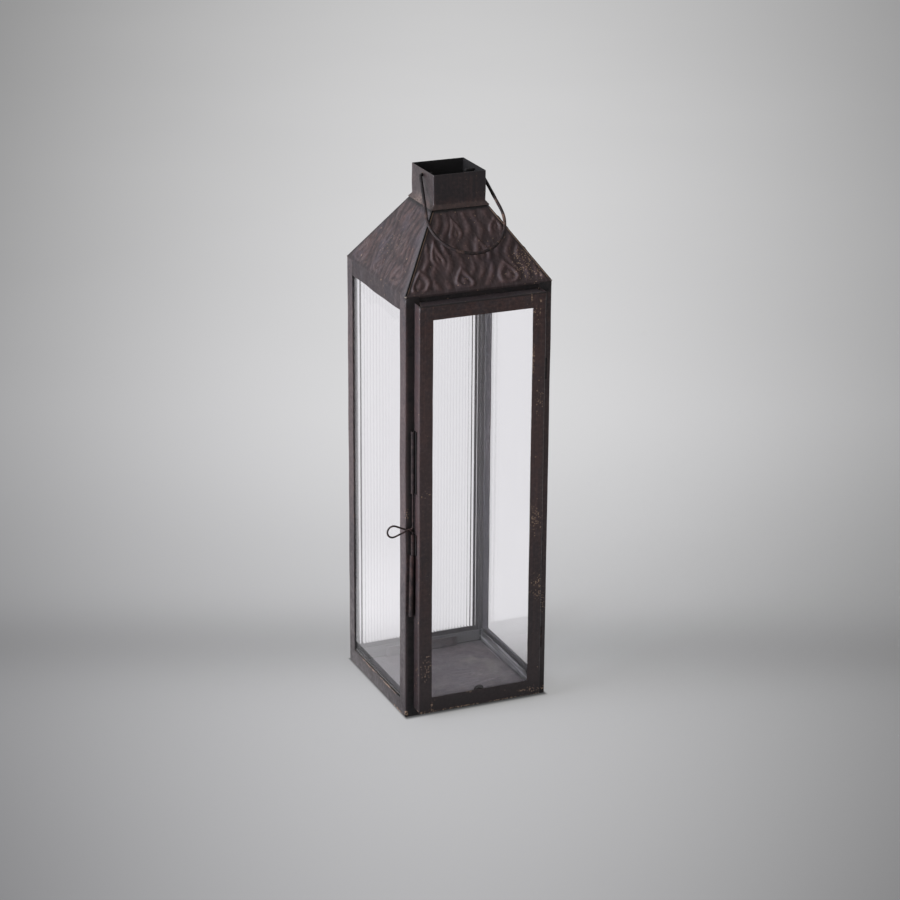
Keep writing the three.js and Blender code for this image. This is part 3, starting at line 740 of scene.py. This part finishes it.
def ridge_height(wall, u, s):
    """Height of the pressed relief, in millimetres, at u along the wall and s up the slope."""
    column, row, slant, pitch = PATTERN[wall]
    seed = column * 0.37 + row
    bent_u = u + 1.5 * np.sin(u / 10.7 + s / 14 + seed) + 1.1 * np.sin(s / 5.3 - u / 21 + 1.7 * seed)
    bent_s = s + 1.7 * np.sin(s / 9.4 + u / 12 + 0.2 + seed) + 0.9 * np.sin(u / 5.6 - s / 18 + 2.1 * seed)
    wander = 3.2 * np.sin(s / 7.1 + u / 25 + seed) + 2.1 * np.sin(s / 13.3 - u / 12 + 2 * seed)
    waves = 0.5 + 0.5 * np.sin(2 * np.pi * (u + slant * s + wander) / pitch)
    waves = waves**1.2 * (0.55 + 0.45 * np.sin(u / 9 + s / 6.7 + 3 * seed) * np.sin(s / 8.1 - u / 14))
    height = 1.15 * waves
    for middle, shift, half_width, up, down, core, share, closed in ARCHES:
        across = np.mod(bent_u - column - shift + COLUMN_GAP / 2, COLUMN_GAP) - COLUMN_GAP / 2
        turn = np.round((bent_u - column - shift - across) / COLUMN_GAP)
        swell = 1 + 0.13 * np.sin(2.3 * turn + middle + seed)
        a = np.abs(across) / (half_width * swell)
        b = (bent_s - middle - row) / np.where(bent_s > middle + row, up, down) / swell
        pointed = (a**1.2 + np.abs(b) ** 1.2) ** (1 / 1.2)
        r = np.where(b > 0, pointed, np.hypot(a, b))
        outline = np.exp(-(((r - 0.86) * half_width / 2.9) ** 2))
        outline *= 1 - (1 - closed) * smoothstep(-b, 0.1, 0.7)
        fill = core * np.exp(-((r / 0.36) ** 2))
        inside = share * (1 - smoothstep(r, 1.0, 1.45))
        height = height * (1 - inside) + inside * 1.4 * np.maximum(outline, fill)
    return height


def roof_section(t, depth):
    """Point (out, up) of the folded sheet at t up from the eave and a depth below its face."""
    angle = np.clip((t + BEND) / (2 * BEND), 0, 1) * FOLD
    out_n, up_n = np.cos(angle), np.sin(angle)
    out = np.where(t < -BEND, HALF, HALF - FOLD_RADIUS + FOLD_RADIUS * out_n)
    up = np.where(t < -BEND, EAVE + t, EAVE - BEND + FOLD_RADIUS * up_n)
    past = t > BEND
    out = np.where(past, HALF - t * math.cos(SLOPE), out)
    up = np.where(past, EAVE + t * math.sin(SLOPE), up)
    return out - depth * out_n, up - depth * up_n, out_n, up_n


def roof_grid(wall):
    """Stations up the sheet and across it, and how far across its skirt reaches."""
    drop = SHORT_DROP if wall == "front" else SKIRT_DROP
    below = np.linspace(-drop, -EASE, max(3, int((drop - EASE) / (1.5 * MM)) + 1))
    rows = np.concatenate([below, np.linspace(-BEND, BEND, 4), np.linspace(BEND, SLOPE_LENGTH, 116)[1:]])
    reach = SKIRT_REACH / (HALF - HIP_GAP)
    sides = np.linspace(reach, 1, 22)[1:]
    cols = np.concatenate([-sides[::-1], np.linspace(-reach, reach, 166), sides])
    return rows, cols, reach


def roof_face(wall, t, v, depth):
    """Points of a roof sheet at a depth below its outer face, and the marks for its material."""
    raised_edge = wall in ("front", "back")
    out, up, out_n, up_n = roof_section(t, depth)
    inset = HIP_GAP + (0.45 * MM if raised_edge else 0) * smoothstep(t, 0, 4 * MM)
    half_width = (out - inset) / MM
    u = v * half_width
    edge = half_width - np.abs(u)
    s = t / MM
    if wall != "front":
        wave = (0.45 * np.sin(u / 21 + 0.8) + 0.3 * np.sin(u / 9 + 2)) * MM
        up = up - wave * np.clip((-EASE - t) / SKIRT_DROP, 0, 1)
    fade = smoothstep(edge, 1.5, 6) * smoothstep(s, 1.0, 6) * smoothstep(SLOPE_LENGTH / MM - s, 7, 11)
    relief = ridge_height(wall, u, s)
    lip = np.zeros_like(u)
    # Painted shade along the hips: a dark strip at each sheet's edge, standing for the shade in the gap
    painted_shade = 1 - smoothstep(edge, 1.0, 1.9)
    if raised_edge:
        lip = (1 - smoothstep(edge, 0.5, 1.5)) * smoothstep(s, 1, 4)
        # on the front and back sheets the painted shade lies beside the lip and at the very edge
        beside_lip = 0.9 * np.exp(-(((edge - 2.4) / 0.6) ** 2)) * smoothstep(s, 0, 3)
        painted_shade = beside_lip + 1 - smoothstep(edge, 0.1, 0.4)
    sway = 0.22 * np.sin(u / 23 + 1.1) * np.sin(s / 19 + 0.6) * smoothstep(s, 2, 20) * smoothstep(edge, 0, 12)
    lumps = np.sin(u / 0.97 + 2 * np.sin(s / 5.2)) * np.sin(s / 1.25 + 1.6 * np.sin(u / 6.3))
    pressed = (1.0 if wall == "left" else 1.5) * (relief - 0.2) + 0.09 * lumps
    rise = (pressed * fade + sway + 0.4 * lip) * MM
    points = np.stack([u * MM, -(out + rise * out_n), up + rise * up_n], -1)
    # Painted shade in a wavy line under the chimney's foot, and in the front sheet's fold
    under_foot = smoothstep(s + 0.7 * np.sin(u / 2.1 + 1) * np.sin(u / 7), *FOOT_LINE)
    fold_shade = 0.3 * (1 - smoothstep(s, -1.4, -0.4)) * (wall == "front")
    painted_shade = np.maximum.reduce([painted_shade, 0.95 * under_foot, fold_shade])
    return turned(points, WALLS[wall]).reshape(-1, 3), {"relief": relief * fade, "lip": lip, "painted_shade": painted_shade}


def roof_faces(rows, cols, reach):
    """Quads of the outer face, and these with the inner face and the rim that joins the two."""
    keep = np.ones((len(rows) - 1, len(cols) - 1), bool)
    skirt = rows[1:] <= -EASE + 1e-9
    middle = np.abs((cols[1:] + cols[:-1]) / 2) <= reach
    keep[skirt[:, None] & ~middle[None, :]] = False
    offset = len(rows) * len(cols)
    index = np.arange(offset).reshape(len(rows), len(cols))
    corners = index[:-1, :-1], index[:-1, 1:], index[1:, 1:], index[1:, :-1]
    quads = np.stack([corner[keep] for corner in corners], -1)
    inner = quads[:, ::-1] + offset
    directed = np.concatenate([quads[:, [i, (i + 1) % 4]] for i in range(4)])
    seen = {(int(p), int(q)) for p, q in directed}
    rim = [(q, p, p + offset, q + offset) for p, q in seen if (q, p) not in seen]
    return quads, quads.tolist() + inner.tolist() + sorted(rim)


def roof_panel(wall):
    rows, cols, reach = roof_grid(wall)
    t, v = np.meshgrid(rows, cols, indexing="ij")
    (outer, marks), (inner, _) = [roof_face(wall, t, v, depth) for depth in (0, SHEET)]
    quads, faces = roof_faces(rows, cols, reach)
    used = np.isin(np.arange(t.size), quads)
    used = np.concatenate([used, used])
    renumber = np.cumsum(used) - 1
    name = f"roof_panel_{wall}"
    mesh = bpy.data.meshes.new(name)
    verts = np.concatenate([outer, inner])[used].tolist()
    mesh.from_pydata(verts, [], [tuple(int(renumber[i]) for i in face) for face in faces])
    for label, values in marks.items():
        both = np.tile(values.ravel(), 2)[used].astype(np.float32)
        layer = mesh.attributes.new(label, "FLOAT", "POINT")
        layer.data.foreach_set("value", np.clip(both, 0, 1))
    finish_piece(mesh, name, EMBOSSED, "lantern_body", [f"roof_{wall}"], 50)


for wall in WALLS:
    roof_panel(wall)


# Chimney: a folded tube with rounded corners and an uneven flared foot
def square_ring(half_side, radius, per_side=14, per_corner=5):
    points = []
    flat = half_side - radius
    for quarter in range(4):
        ring = [(flat * (2 * i / per_side - 1), -half_side) for i in range(per_side)]
        for i in range(per_corner):
            angle = math.pi / 2 * (i / per_corner - 1)
            ring.append((flat + radius * math.cos(angle), -flat + radius * math.sin(angle)))
        for x, y in ring:
            for _ in range(quarter):
                x, y = -y, x
            points.append((x, y))
    return np.array(points)


def chimney_profile():
    """Half sides and heights up the chimney's outer face and down its inner one, with the corner radius."""
    foot = CHIMNEY_FOOT + (SHEET + 0.1 * MM) / math.cos(SLOPE)
    out, down = CHIMNEY_FLARE * math.cos(SLOPE), CHIMNEY_FLARE * math.sin(SLOPE)
    flat_out, flat_down = SHEET * math.sin(SLOPE), SHEET * math.cos(SLOPE)
    inside = CHIMNEY_HALF - SHEET
    softened = 0.12 * MM
    outer = [(CHIMNEY_HALF + out * k, foot - down * k) for k in (1, 0.8, 0.6, 0.4, 0.2, 0.06)]
    outer += [(CHIMNEY_HALF, foot + (TOP - foot) * k) for k in np.linspace(0.02, 0.985, 16)]
    outer += [(CHIMNEY_HALF - softened, TOP)]
    inner = [(inside + softened, TOP)]
    inner += [(inside, foot + (TOP - foot) * k) for k in np.linspace(0.985, 0.0, 12)]
    inner += [(CHIMNEY_HALF + out * k - flat_out, foot - down * k - flat_down) for k in (0.25, 0.5, 0.75, 1)]
    rows = [(*row, 1.3 * MM) for row in outer] + [(*row, 0.4 * MM) for row in inner]
    return rows, foot, down


def drilled(mesh, height, radius):
    """The mesh with a round hole right through it from left to right."""
    work = bmesh.new()
    turn = Matrix.Translation((0, 0, height)) @ Matrix.Rotation(math.pi / 2, 4, "Y")
    size = {"segments": 32, "radius1": radius, "radius2": radius, "depth": 100 * MM}
    bmesh.ops.create_cone(work, cap_ends=True, matrix=turn, **size)
    drill = bpy.data.objects.new("drill", to_mesh(work, "drill"))
    blank = bpy.data.objects.new("blank", mesh)
    for obj in (drill, blank):
        scene.collection.objects.link(obj)
    cut = blank.modifiers.new("holes", "BOOLEAN")
    cut.object = drill
    cut.operation = "DIFFERENCE"
    cut.solver = "EXACT"
    bpy.context.view_layer.update()
    result = bpy.data.meshes.new_from_object(blank.evaluated_get(bpy.context.evaluated_depsgraph_get()))
    bpy.data.objects.remove(drill)
    bpy.data.objects.remove(blank)
    return result


def chimney_tube():
    rows, foot, down = chimney_profile()
    verts = []
    for half_side, z, radius in rows:
        ring = square_ring(half_side, radius)
        around = np.arctan2(ring[:, 1], ring[:, 0])
        below = max(0.0, (foot - z) / down)
        flare = 0.45 * MM * below * (0.5 + 0.5 * np.sin(around * 5 + 1.2) * np.cos(around * 3))
        near_top = min(1.0, (TOP - z) / (8 * MM))
        dent = 0.22 * MM * np.sin(around * 4 + z * 90) * np.sin(z * 140 + around * 2) * near_top
        grow = 1 + (flare + dent) / half_side
        verts += [(x * g, y * g, z + lift) for (x, y), g, lift in zip(ring, grow, flare * 0.6)]
    count = len(verts) // len(rows)
    faces = [[i % len(verts) for i in face] for face in ring_faces(len(rows) + 1, count)]
    mesh = drilled(from_faces("chimney_tube", verts, faces), BAIL_HEIGHT, BAIL_HOLE)
    finish_piece(mesh, "chimney_tube", IRON, "lantern_body", ["chimney"], 40)


chimney_tube()


# Wires
def touch_point(start, centre, radius, side):
    """Where a straight line from start touches the circle on its left or right side."""
    to_centre = centre - start
    reach = math.sqrt(to_centre.length_squared - radius * radius)
    swing = side * math.asin(radius / to_centre.length)
    return start + (Matrix.Rotation(swing, 2) @ to_centre.normalized()) * reach


def bent_line(corners, radius, step=0.12):
    """Points along a line with a round bend at each inner corner."""
    points = [corners[0]]
    for before, corner, after in zip(corners, corners[1:], corners[2:]):
        back, ahead = (before - corner).normalized(), (after - corner).normalized()
        turn = math.pi - back.angle(ahead)
        setback = radius * math.tan(turn / 2)
        start, end = corner + back * setback, corner + ahead * setback
        centre = corner + (back + ahead).normalized() * radius / math.cos(turn / 2)
        count = max(3, int(turn / step))
        for i in range(count + 1):
            points.append(centre + (start - centre).slerp(end - centre, i / count).normalized() * radius)
    points.append(corners[-1])
    return points


def arc(centre, radius, start, end, count):
    angles = [start + (end - start) * i / count for i in range(count + 1)]
    return [centre + Vector((math.cos(angle), math.sin(angle))) * radius for angle in angles]


def even(points, gap):
    """The same line with points at even spacing."""
    array = np.array([tuple(p) for p in points])
    length = np.concatenate([[0], np.cumsum(np.linalg.norm(np.diff(array, axis=0), axis=1))])
    keep = np.concatenate([[True], np.diff(length) > 1e-9])
    array, length = array[keep], length[keep]
    stations = np.linspace(0, length[-1], max(2, int(length[-1] / gap) + 1))
    return np.stack([np.interp(stations, length, array[:, i]) for i in range(array.shape[1])], -1)


def wire(name, points, radius, sides=14):
    """A round wire along points, with rounded ends."""
    points = np.asarray(points, float)
    tangents = np.gradient(points, axis=0)
    tangents /= np.linalg.norm(tangents, axis=1)[:, None]
    across = np.cross(tangents[0], (0.3, 0.9, 0.2))
    across /= np.linalg.norm(across)
    rings = []
    caps = [(0.98, 0.2), (0.85, 0.53), (0.55, 0.84), (0.15, 0.99)]
    start = [(0, -depth, width) for width, depth in reversed(caps)]
    stations = [(i, 0.0, 1.0) for i in range(len(points))]
    end = [(len(points) - 1, depth, width) for width, depth in caps]
    for index, push, width in start + stations + end:
        tangent = tangents[index]
        across = across - tangent * np.dot(across, tangent)
        across /= np.linalg.norm(across)
        other = np.cross(tangent, across)
        thick = radius * (1 + 0.035 * math.sin(index * 0.61) + 0.02 * math.sin(index * 0.23 + 1))
        centre = points[index] + tangent * push * radius
        angles = np.arange(sides) * 2 * math.pi / sides
        circle = np.outer(np.cos(angles), across) + np.outer(np.sin(angles), other)
        rings.append(centre + thick * width * circle)
    faces = ring_faces(len(rings), sides)
    last = (len(rings) - 1) * sides
    faces += [tuple(range(sides)), tuple(range(last, last + sides))]
    return from_faces(name, np.concatenate(rings), faces)


# Bail: half a ring drawn in to the chimney's holes, flat first and then leant forward
def handle_wire():
    radius, bend = 1.75 * MM, 2.5 * MM
    ring, reach, shift = 43.9 * MM, 58.6 * MM, 1.8 * MM
    left_gap, right_gap = 0.75 * MM, 3.35 * MM
    lean = math.radians(46)
    tip = CHIMNEY_HALF - 10 * MM
    left = Vector((-(CHIMNEY_HALF + left_gap + radius), 0))
    right = Vector((CHIMNEY_HALF + right_gap + radius, 0))
    centre = Vector((shift, reach))
    touches = [touch_point(left, centre, ring, 1), touch_point(right, centre, ring, -1)]
    angle = [math.atan2(p.y - centre.y, p.x - centre.x) for p in touches]
    if angle[0] < 0:
        angle[0] += 2 * math.pi
    flat = bent_line([Vector((-tip, 0)), left, touches[0]], bend)
    flat += arc(centre, ring, angle[0], angle[1], 90)
    flat += bent_line([touches[1], right, Vector((tip, 0))], bend)
    flat = even(flat, 1.4 * MM)
    down = flat[:, 1]
    bow = np.sin(np.linspace(0, math.pi * 5, len(flat))) * np.clip(down / (20 * MM), 0, 1) * 0.22 * MM
    y = -down * math.sin(lean) - bow * math.cos(lean)
    z = BAIL_HEIGHT - down * math.cos(lean) + bow * math.sin(lean)
    mesh = wire("handle_wire", np.stack([flat[:, 0], y, z], -1), radius, 18)
    finish_piece(mesh, "handle_wire", WIRE, "bail", ["handle"], 60)


handle_wire()


# Solder run under each hip, which closes the gap between two roof sheets; it is near-black wire, standing as
# painted shade in the gap
def hip_seam(name, sign_x, sign_y):
    radius = 1.0 * MM
    inward = (SHEET + 1.2 * radius) / (1 + math.cos(SLOPE) ** 2)
    points = []
    for t in np.linspace(1.5 * MM, SLOPE_LENGTH - 2 * MM, 60):
        side = HALF - t * math.cos(SLOPE) - inward * math.sin(SLOPE)
        height = EAVE + t * math.sin(SLOPE) - 2 * inward * math.cos(SLOPE)
        points.append((sign_x * side, sign_y * side, height))
    mesh = wire(name, points, radius, 8)
    finish_piece(mesh, name, BLACK_WIRE, "lantern_body", (), 60)


HIPS = (("front_left", -1, -1), ("front_right", 1, -1), ("back_right", 1, 1), ("back_left", -1, 1))
for name, sign_x, sign_y in HIPS:
    hip_seam(f"hip_seam_{name}", sign_x, sign_y)

# Latch: one wire with a twisted pull loop, sliding in rolled guides
LATCH_X, LATCH_Y = -77.4 * MM, -87.9 * MM
LATCH_BOTTOM, ROOT_HEIGHT, LATCH_TOP = 195.3 * MM, 224 * MM, 297.6 * MM
HALF_GAP = 1.05 * MM


def pull_loop(root, lift):
    """The pull loop's points and its mouth, both in the plane of x and height."""
    pull, reach, neck = 6.6 * MM, 23.2 * MM, 8.5 * MM
    eye = root + Vector((-reach, lift))
    mouth = root + Vector((-neck, lift * neck / reach))
    upper_mouth, lower_mouth = mouth + Vector((0, HALF_GAP)), mouth - Vector((0, HALF_GAP))
    touches = touch_point(lower_mouth, eye, pull, 1), touch_point(upper_mouth, eye, pull, -1)
    angle = [math.atan2(p.y - eye.y, p.x - eye.x) for p in touches]
    if angle[0] > 0:
        angle[0] -= 2 * math.pi
    return [lower_mouth] + arc(eye, pull, angle[0], angle[1] - 2 * math.pi, 40) + [upper_mouth], mouth


def twisted_strand(root, mouth, side, steps=24):
    """One of the two strands that wind once round each other from the root to the mouth."""
    strand = []
    for i in range(steps + 1):
        spin = math.pi / 2 + 2 * math.pi * i / steps
        middle = root.lerp(mouth, 0.12 + 0.88 * i / steps)
        swing = HALF_GAP * side
        strand.append(Vector((middle.x, LATCH_Y - swing * math.cos(spin), middle.y + swing * math.sin(spin))))
    return strand


def latch_wire():
    root = Vector((LATCH_X, ROOT_HEIGHT))
    flat_loop, mouth = pull_loop(root, 1.2 * MM)
    loop = [Vector((p.x, LATCH_Y, p.y)) for p in flat_loop]
    upper, lower = [twisted_strand(root, mouth, side) for side in (1, -1)]
    clear = 2.5 * MM
    rise = [Vector((LATCH_X, LATCH_Y, z)) for z in (ROOT_HEIGHT + clear, LATCH_TOP)]
    fall = [Vector((LATCH_X, LATCH_Y, z)) for z in (LATCH_BOTTOM, ROOT_HEIGHT - clear)]
    soft = even(fall + lower + loop + upper[::-1] + rise, 0.7 * MM)
    for _ in range(3):
        soft[1:-1] = soft[:-2] * 0.25 + soft[1:-1] * 0.5 + soft[2:] * 0.25
    mesh = wire("latch_wire", soft, 1.0 * MM, 12)
    finish_piece(mesh, "latch_wire", BLACK_WIRE, "latch", ["latch_bolt"], 60)


latch_wire()

LEAF = 5.5 * MM
ROLLED_TURN = 2 * math.pi * 0.895


def rolled_section(bore, radius, steps=34):
    """Outer and inner line of a sheet rolled into an eye, with its leaf left flat."""
    outer = [(radius, -LEAF), (radius, -LEAF * 0.5), (radius, 0)]
    inner = [(bore, -LEAF), (bore, -LEAF * 0.5), (bore, 0)]
    for i in range(1, steps + 1):
        angle = ROLLED_TURN * i / steps
        squeezed = radius * (1 + 0.03 * math.sin(angle * 2))
        outer.append((squeezed * math.cos(angle), squeezed * math.sin(angle)))
        inner.append((bore * math.cos(angle), bore * math.sin(angle)))
    return outer, inner


def rolled_eye(node, x, y, bore, radius, axes, lean=0.0):
    """A rolled eye over the node's height; axes says how its leaf lies."""
    low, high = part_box(node)
    outer, inner = rolled_section(bore, radius)
    section = outer + inner[::-1]
    rows = max(2, int((high.z - low.z) / (4 * MM)) + 1)
    verts = []
    for row in range(rows):
        z = low.z + (high.z - low.z) * row / (rows - 1)
        swell = 1 + 0.012 * math.sin(row * 1.3)
        shift = (z - high.z) * math.tan(lean)
        for along, beside in section:
            wx, wy = axes(along * swell, beside * swell)
            verts.append((x + wx + shift, y + wy, z))
    count = len(section)
    faces = ring_faces(rows, count)
    for base in (0, (rows - 1) * count):
        faces += sheet_ends(base, count, len(outer))
    mesh = from_faces(node + "_rolled", verts, faces)
    finish_piece(mesh, node + "_rolled", BLACK_WIRE, body_of[node], [node], 40)


HINGE_X, HINGE_Y = 74.6 * MM, -87.6 * MM
HINGE_BORE, GUIDE_BORE, EYE_RADIUS = 1.3 * MM, 1.5 * MM, 2.3 * MM
KEEPER_BORE, KEEPER_RADIUS, KEEPER_SHIFT = 2.15 * MM, 2.8 * MM, 0.8 * MM
for level in ("lower", "upper"):
    rolled_eye(f"latch_guide_{level}", LATCH_X, LATCH_Y, GUIDE_BORE, EYE_RADIUS, lambda a, b: (a, b))
    rolled_eye(f"hinge_eye_door_{level}", HINGE_X, HINGE_Y, HINGE_BORE, EYE_RADIUS, lambda a, b: (-a, b))
    rolled_eye(f"hinge_eye_post_{level}", HINGE_X, HINGE_Y, HINGE_BORE, EYE_RADIUS, lambda a, b: (-b, a))
KEEPER_X, KEEPER_LEAN = LATCH_X - KEEPER_SHIFT, math.radians(1)
rolled_eye("latch_keeper", KEEPER_X, LATCH_Y, KEEPER_BORE, KEEPER_RADIUS, lambda a, b: (b, a), KEEPER_LEAN)


# Reeded pane: flat behind, with round reeds on its inner face
def reeded_pane():
    node = "glass_back_reeded"
    low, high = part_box(node)
    per_reed, rise, shallow = 9, 0.8 * MM, math.sqrt(0.06)
    pitch = (high.x - low.x) / REEDS
    front = []
    for step in range(REEDS * per_reed + 1):
        across = 1.0 if step == REEDS * per_reed else step % per_reed / per_reed
        bulge = math.sqrt(max(0.0, 1 - (2 * across - 1) ** 2 * 0.94)) - shallow
        front.append((low.x + pitch * step / per_reed, low.y + rise * (1 - bulge / (1 - shallow))))
    section = front + [(x, high.y) for x, _ in reversed(front)]
    count = len(section)
    verts = [(x, y, z) for z in (low.z, high.z) for x, y in section]
    faces = ring_faces(2, count)
    for base in (0, count):
        faces += sheet_ends(base, count, len(front))
    mesh = from_faces("reeded_pane", verts, faces)
    finish_piece(mesh, "reeded_pane", REEDED, "lantern_body", [node], 50)


reeded_pane()

# Folded sheets of the frame and the door, with the size of their faces
UPRIGHTS = [n for n in nodes if n.startswith("post_")] + ["door_stile_left", "door_stile_right"]
ACROSS = ["base_rail_front", "base_rail_back", "header_front", "door_rail_top", "door_rail_bottom"]
DEEP = ["base_rail_left", "base_rail_right"]
INNER = [n for n in nodes if n.startswith(("glass_strip_", "glass_clip_"))]
DOOR_CLIPS = [n for n in nodes if n.startswith("door_clip_")]
SHEETS = (
    (UPRIGHTS, IRON, 7),
    (ACROSS, IRON_ACROSS, 7),
    (DEEP, IRON_DEEP, 7),
    (DOOR_CLIPS, BLACK_WIRE, 1.2),
    (INNER, STRIP, 7),
    (["floor_plate"], TRAY, 7),
)
for names, material, step in SHEETS:
    for node in names:
        worn_sheet(node, material, step * MM)

# Pieces that stay as the part has them and only change their material
PANES = ("glass_left", "glass_right", "door_glass")
PINS = ("hinge_pin_lower", "hinge_pin_upper")
for names, material in ((PANES, GLASS), (PINS, WIRE)):
    for node in names:
        nodes[node].data.materials.clear()
        nodes[node].data.materials.append(material)

# Solder left at the corners and seams: (place, size) in millimetres
BEADS = (
    ((-84.5, -84.8, 486.7), (1.25, 1.1, 1.0)),
    ((84.4, -84.6, 486.6), (0.9, 0.9, 0.7)),
    ((84.4, 84.6, 486.6), (1.1, 0.9, 0.8)),
    ((-84.4, 84.6, 486.6), (0.9, 1.0, 0.8)),
    ((-33.2, 8.5, 563.6), (0.8, 2.2, 1.0)),
    ((-33.4, -2, 563.2), (0.7, 1.7, 0.8)),
    ((-33.2, 17, 563.8), (0.8, 1.5, 0.9)),
    ((33.2, 6, 563.4), (0.8, 2.2, 0.9)),
    ((-4, 33.3, 563.5), (2.4, 0.8, 0.9)),
)


def bead(number, place, size):
    """A lumpy drop of solder, each number with its own lumps."""
    name = f"solder_{number}"
    work = bmesh.new()
    bmesh.ops.create_icosphere(work, subdivisions=3, radius=1)
    for vert in work.verts:
        lump = 1 + 0.35 * noise.noise(vert.co * 1.1 + Vector((number * 3.7, 1.3, 0.4)))
        vert.co = Vector([c * s * lump for c, s in zip(vert.co, size)]) * MM + Vector(place) * MM
    finish_piece(to_mesh(work, name), name, SOLDER, "lantern_body", (), 60)


for number, (place, size) in enumerate(BEADS):
    bead(number, place, size)


# Floor: the photograph's soft gradient in its own view, a plain pale floor round it
THROUGH = (0.815, 0.797, 0.827)


def framed_level(look, away, side, spread):
    """Brightness of the floor in the photograph's view; away and side run along and across that view."""
    outward = look.math("MINIMUM", abs(spread), 0.168)
    edge = outward.span(0, 0.26, 0, 0.65) * away.span(-1.6, -0.7)
    level = away.span(-0.7, -0.1, 0.455, 0.565) + away.span(-0.1, 1.0, 0, 0.262)
    lean = spread * 0.35 + 1.0
    # painted shadow: a soft dark pool round the lantern's foot
    pool_away, pool_side = (away - 0.085) / 0.1, side / 0.9
    shadow_pool = look.math("EXPONENT", (pool_away * pool_away + pool_side * pool_side) * -1.0) * 0.23
    # painted shadow: a contact shadow at the lantern's base
    contact_shadow = abs(look.x).span(0.088, 0.084) * look.y.span(-0.0935, -0.0865) * look.y.span(0.088, 0.084)
    return level * away.span(1.6, 5, 1, 0.86) * lean * (1 - edge) * (1 - shadow_pool) * (1 - contact_shadow * 0.8)


def mirrored_strength(look, away, side):
    """Strength of the floor in reflections, weaker where the base rails and the door would mirror it."""
    wide, y = abs(look.x), look.y
    beside = side.span(-0.02, -0.1, 0, 0.6) * away.span(-0.2, 0.02) * away.span(0.32, 0.12)
    # painted shade: the floor darker in reflections beside the base rails and in front of the door
    beside_rail = wide.span(0.0985, 0.1005) * wide.span(0.1085, 0.107) * abs(y).span(0.15, 0.14, 0, 0.92)
    before_door = wide.span(0.12, 0.1) * y.span(-0.165, -0.12) * y.span(-0.08, -0.085, 0, 0.5)
    return (away.span(-0.8, 0.4, 0.42, 1) + beside) * (1 - look.most(beside_rail, before_door))


def behind_strength(look, away, side):
    """Strength of the floor seen through glass."""
    near_side, off_side = away.span(-0.25, -0.5, 0, 0.62), abs(side).span(0.16, 0.34, 0, 0.75)
    return look.most(away.span(-0.05, 0.18, 0.28, 1), near_side, off_side)


def floor_look():
    look = material_look("floor")
    x, y = look.x, look.y
    away_x, away_y = math.sin(AZIMUTH), math.cos(AZIMUTH)
    away, side = x * away_x + y * away_y, x * away_y - y * away_x
    spread = side / look.most(away * 0.9386 + 3.195, 2.2)
    framed = abs(spread).span(0.166, 0.32, 1, 0) * away.within(-1.0, -0.56, 4.2, 7)
    around = (1 - framed) * look.math("SQRT", x * x + y * y).span(1.0, 6.0, 0.44, 0.62)
    level = framed_level(look, away, side, spread) * framed + around
    level = level * look.noise(1.2, 3, 0.5).span(0.2, 0.8, 0.985, 1.015)
    grey = level * 0.8
    tone = look.node("ShaderNodeCombineColor", {0: grey, 1: grey, 2: grey}).outputs[0]
    plain = look.shader("ShaderNodeBsdfDiffuse", Color=tone)
    shown = look.shader("ShaderNodeEmission", Color=(1, 1, 1), Strength=level)
    mirrored = look.shader("ShaderNodeEmission", Color=THROUGH, Strength=mirrored_strength(look, away, side))
    behind = look.shader("ShaderNodeEmission", Color=THROUGH, Strength=behind_strength(look, away, side))
    rays = look.rays()
    shader = look.blend((1 - framed * 0.4) * rays["Is Camera Ray"], plain, shown)
    shader = look.blend(rays["Is Glossy Ray"], shader, mirrored)
    shader = look.blend(rays["Is Transmission Ray"], shader, behind)
    return look.finish(shader)


FLOOR_HALF = 14
floor_mesh = bpy.data.meshes.new("floor")
corners = [(x * FLOOR_HALF, y * FLOOR_HALF, 0) for x, y in ((-1, -1), (1, -1), (1, 1), (-1, 1))]
floor_mesh.from_pydata(corners, [], [(0, 1, 2, 3)])
floor_mesh.materials.append(floor_look())
floor = bpy.data.objects.new("floor", floor_mesh)
scene.collection.objects.link(floor)


def make_world():
    """Soft studio light, stronger from the left; the camera and the glass see plain pale walls."""
    scene.world = bpy.data.worlds.new("world")
    look = Look(scene.world)
    toward = look.dot(look.where["Generated"], Vector((-0.72, 0.52, 0.46)).normalized())
    strength = toward.span(-0.4, 0.95, 0.22, 0.8)
    light = look.shader("ShaderNodeBackground", Color=(1.0, 0.985, 1.0), Strength=strength)
    seen = look.shader("ShaderNodeBackground", Color=(0.66, 0.66, 0.66))
    through = look.shader("ShaderNodeBackground", Color=THROUGH)
    rays = look.rays()
    shader = look.blend(rays["Is Camera Ray"], light, seen)
    shader = look.blend(rays["Is Transmission Ray"], shader, through)
    look.finish(shader, "ShaderNodeOutputWorld")


make_world()

# Square lamps that face the lantern: (name, place, side, power, colour)
LAMPS = (
    ("softbox_left", (-2.4, -0.25, 1.0), 1.5, 88, (0.97, 0.98, 1.09)),
    ("softbox_front", (0.6, -3.2, 2.6), 1.8, 8, (1, 0.95, 0.92)),
)
LAMP_AIM = Vector((0, 0, 0.3))


def softbox(name, place, side, power, color):
    data = bpy.data.lights.new(name, "AREA")
    data.shape = "SQUARE"
    data.size = side
    data.energy = power
    data.color = color
    lamp = bpy.data.objects.new(name, data)
    lamp.location = place
    lamp.rotation_euler = (LAMP_AIM - Vector(place)).to_track_quat("-Z", "Y").to_euler()
    scene.collection.objects.link(lamp)


for lamp in LAMPS:
    softbox(*lamp)
